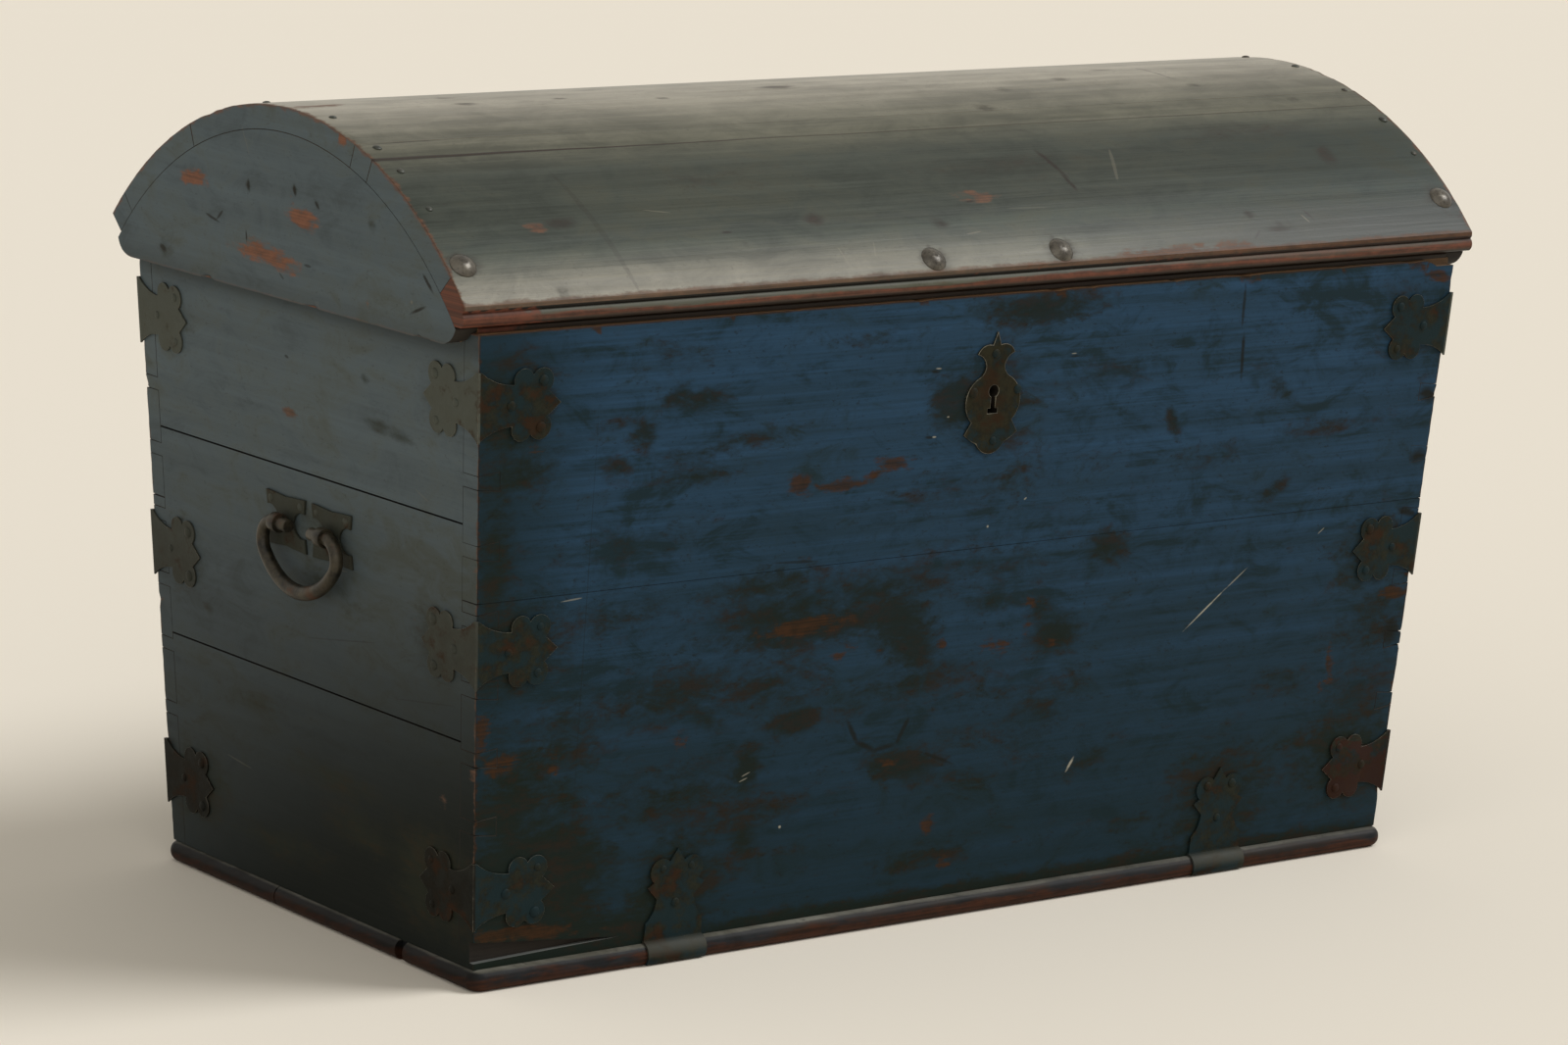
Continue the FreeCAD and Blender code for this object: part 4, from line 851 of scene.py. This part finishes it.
def easedIron(node, kind):
    piece = nodes[node]
    weld = piece.modifiers.new("weld", "WELD")
    weld.merge_threshold = ironEase["weld"]
    flatten = piece.modifiers.new("flatten", "DECIMATE")
    flatten.decimate_type = "DISSOLVE"
    flatten.angle_limit = math.radians(ironEase["flat"])
    ease = piece.modifiers.new("ease", "BEVEL")
    ease.width = ironEase["width"]
    ease.segments = 2
    ease.limit_method = "ANGLE"
    ease.angle_limit = math.radians(ironEase["turn"])
    piece.data.materials.clear()
    piece.data.materials.append(finishes[kind])
    # the rims' pale colour is rubbed metal and a painted highlight
    if kind in ("strap", "lock"):  # rims rubbed bright
        piece.data.materials.append(finishes["rim"])
        ease.material = 1


for node in nodes:
    if node not in boards:
        easedIron(node, next(kind for start, kind in ironKinds.items() if node.startswith(start)))
print("ironwork:", len(nodes) - len(boards))

# nail heads by Geometry Nodes, one mesh for each body; straps and hinges lift them by their thickness
nailHead = {"radius": 0.0042, "rise": 0.0016, "spread": 0.22, "seed": 7, "strap": 0.002, "hinge": 0.0025, "onLid": 0.9}


def nailTree():
    tree = bpy.data.node_groups.new("nailHeads", "GeometryNodeTree")
    sockets = {"Geometry": "Geometry", "radius": "Float", "rise": "Float", "spread": "Float", "seed": "Int",
               "finish": "Material"}
    for label, kind in sockets.items():
        tree.interface.new_socket(label, in_out="INPUT", socket_type="NodeSocket" + kind)
    tree.interface.new_socket("Geometry", in_out="OUTPUT", socket_type="NodeSocketGeometry")

    spots = Sock(tree).node("NodeGroupInput", {}, {}, "Geometry")
    radius, rise, spread, seed, finish = [spots.other(label) for label in list(sockets)[1:]]
    ball = spots.node("GeometryNodeMeshUVSphere", {}, {"Segments": 12, "Rings": 8, "Radius": 1.0}, "Mesh")
    head = spots.node("GeometryNodeTransform", {}, {"Geometry": ball, "Scale": radius.vector(radius, rise)})
    facing = spots.node("GeometryNodeInputNamedAttribute", {"data_type": "FLOAT_VECTOR"}, {"Name": "facing"})
    turn = spots.node("FunctionNodeAlignRotationToVector", {"axis": "Z"}, {"Vector": facing})
    size = spots.node("FunctionNodeRandomValue", {"data_type": "FLOAT"},
                      {2: 1.0 - spread, 3: 1.0 + spread, "Seed": seed}, 1)
    placed = spots.node("GeometryNodeInstanceOnPoints", {}, {
        "Points": spots, "Instance": head, "Rotation": turn, "Scale": size})
    plain = spots.node("GeometryNodeRealizeInstances", {}, {"Geometry": placed})
    smooth = spots.node("GeometryNodeSetShadeSmooth", {}, {0: plain})
    done = spots.node("GeometryNodeSetMaterial", {}, {"Geometry": smooth, "Material": finish})
    tree.links.new(done.socket, tree.nodes.new("NodeGroupOutput").inputs["Geometry"])
    return tree


def nails(name, body, spots, kind, tree, radius):
    points = bpy.data.meshes.new(name + "Spots")
    points.from_pydata([spot for spot, facing in spots], [], [])
    points.attributes.new("facing", "FLOAT_VECTOR", "POINT").data.foreach_set(
        "vector", [part for spot, facing in spots for part in facing])
    holder = newObject(name + "Spots", points)
    modifier = holder.modifiers.new("nails", "NODES")
    modifier.node_group = tree
    given = dict(nailHead, radius=radius, finish=finishes[kind])
    for item in tree.interface.items_tree:
        if item.name in given:
            modifier[item.identifier] = given[item.name]
    shown = holder.evaluated_get(bpy.context.evaluated_depsgraph_get())
    mesh = bpy.data.meshes.new_from_object(shown)
    bpy.data.objects.remove(holder)
    mesh.name = name
    piece = newObject(name, mesh)
    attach(piece, body)
    print("nails:", name, len(spots))


def onFace(x, z, side, lift=nailHead["strap"]):  # a point on the front (-1) or back (1) face, and its normal
    y = side * (trunk["halfDepth"] - leanAt(z) * trunk["frontTaper"] + lift) - trunk["forward"]
    return (x, y, z), Vector((0, side, -trunk["frontTaper"] / trunk["height"])).normalized()


def onEnd(y, z, side):
    x = side * (trunk["halfWidth"] - leanAt(z) * trunk["sideTaper"] + nailHead["strap"])
    return (x, y, z), Vector((side, 0, -trunk["sideTaper"] / trunk["height"])).normalized()


strapNails = {"heights": (0.084, 0.2965, 0.509), "spots": ((0.031, 0.0), (0.062, 0.020), (0.062, -0.020))}
lockNails = ((-0.001, 0.518), (-0.023, 0.484), (0.027, 0.484), (0.003, 0.439))
footNails = {"middles": (-0.312, 0.312), "spots": ((0.0, 0.053), (0.015, 0.085), (-0.015, 0.085))}
plateNails = {"eyes": 0.0372, "middle": -0.012, "height": 0.358, "spots": ((0.024, 0.017), (-0.024, 0.017))}
hingeNails = {"middles": (-0.38, 0.38), "across": (-0.024, 0.024), "heights": (0.488, 0.545)}
staveNails = ((-0.551, -19), (-0.551, -25), (-0.552, -33), (0.556, -17), (0.557, -26), (0.556, -34),
              (-0.552, 8), (0.556, 5), (-0.552, 30), (0.556, 32), (-0.551, -8), (0.556, -6))
carcassNails = []
for sideX in (-1, 1):
    for sideY in (-1, 1):
        for height in strapNails["heights"]:
            cornerX = trunk["halfWidth"] - leanAt(height) * trunk["sideTaper"]
            cornerY = trunk["halfDepth"] - leanAt(height) * trunk["frontTaper"]
            for reach, rise in strapNails["spots"]:
                carcassNails.append(onFace(sideX * (cornerX - reach), height + rise, sideY))
                back = sideY * (cornerY - reach) - trunk["forward"]
                carcassNails.append(onEnd(back, height + rise, sideX))
carcassNails += [onFace(x, z, -1) for x, z in lockNails]
for middle in footNails["middles"]:
    carcassNails += [onFace(middle + x, z, -1) for x, z in footNails["spots"]]
for side in (-1, 1):
    for eye in (-1, 1):
        middle = plateNails["middle"] + eye * plateNails["eyes"]
        carcassNails += [onEnd(middle + y, plateNails["height"] + z, side) for y, z in plateNails["spots"]]
for middle in hingeNails["middles"]:
    carcassNails += [onFace(middle + x, z, 1, nailHead["hinge"]) for x in hingeNails["across"]
                     for z in hingeNails["heights"]]
lidNails = []
for x, degrees in staveNails:  # degrees round the dome from its crown
    turn = math.radians(degrees)
    facing = Vector((0, math.sin(turn), math.cos(turn)))
    spot = facing * trunk["domeRadius"]
    lidNails.append(((x, spot.y, spot.z + trunk["domeCentre"]), facing))
tree = nailTree()
nails("carcass_nails", "carcass", carcassNails, "strap", tree, nailHead["radius"])
nails("lid_nails", "lid", lidNails, "nail", tree, nailHead["radius"] * nailHead["onLid"])

# studio: a pale floor, a soft key and an even sky
studio = {"floor": srgb(238, 231, 218), "sky": srgb(242, 237, 228), "skyLight": 0.5, "skySeen": 0.9,
          "floorReach": 60.0, "floorRough": 0.9, "floorGloss": 0.1}


def studioFloor():
    mesh = bpy.data.meshes.new("studioFloor")
    reach = studio["floorReach"]
    corners = [(-reach, -reach, 0), (reach, -reach, 0), (reach, reach, 0), (-reach, reach, 0)]
    mesh.from_pydata(corners, [], [(0, 1, 2, 3)])
    material = bpy.data.materials.new("studioFloor")
    material.use_nodes = True
    shader = material.node_tree.nodes["Principled BSDF"]
    shader.inputs["Base Color"].default_value = studio["floor"]
    shader.inputs["Roughness"].default_value = studio["floorRough"]
    shader.inputs["Specular IOR Level"].default_value = studio["floorGloss"]
    mesh.materials.append(material)
    newObject("studioFloor", mesh)


def studioSky():
    world = bpy.data.worlds.new("studioSky")
    bpy.context.scene.world = world
    world.use_nodes = True
    tree = world.node_tree
    rays = Sock(tree).node("ShaderNodeLightPath", {}, {}, "Is Camera Ray")
    seen = (rays + rays.other("Is Glossy Ray") + rays.other("Is Transmission Ray")).clamp()
    strength = studio["skyLight"] + seen * (studio["skySeen"] - studio["skyLight"])
    back = tree.nodes["Background"]
    back.inputs["Color"].default_value = studio["sky"]
    tree.links.new(strength.socket, back.inputs["Strength"])


lamps = {
    "key": {"from": (0.594, -0.37, 0.715), "angle": 30.0, "power": 1.9},
    "fill": {"from": (-0.62, -0.66, 0.42), "angle": 70.0, "power": 0.5},
}


def lamp(name, spec):  # a wide soft light that reaches the whole floor alike
    light = bpy.data.lights.new(name, "SUN")
    light.angle = math.radians(spec["angle"])
    light.energy = spec["power"]
    newObject(name, light).rotation_euler = Vector(spec["from"]).to_track_quat("Z", "Y").to_euler()


studioFloor()
studioSky()
for name, spec in lamps.items():
    lamp(name, spec)
print("studio lit")

# camera where the photograph was taken from
eye = {
    "place": (-3.02786, -3.963525, 1.30457), "lens": 125.66, "sensor": 36.0, "far": 200.0,
    "right": (0.80007728, -0.59858922, 0.03958911), "up": (0.08570498, 0.17937103, 0.98004117),
    "back": (-0.59374322, -0.78071569, 0.19481276),
}
view = bpy.data.cameras.new("photoView")
view.lens = eye["lens"]
view.sensor_width = eye["sensor"]
view.clip_end = eye["far"]
camera = newObject("photoView", view)
turn = Matrix((eye["right"], eye["up"], eye["back"])).transposed()
camera.matrix_world = Matrix.Translation(Vector(eye["place"])) @ turn.to_4x4()
bpy.context.scene.camera = camera
bpy.context.scene.view_settings.view_transform = "Standard"
print("camera placed")
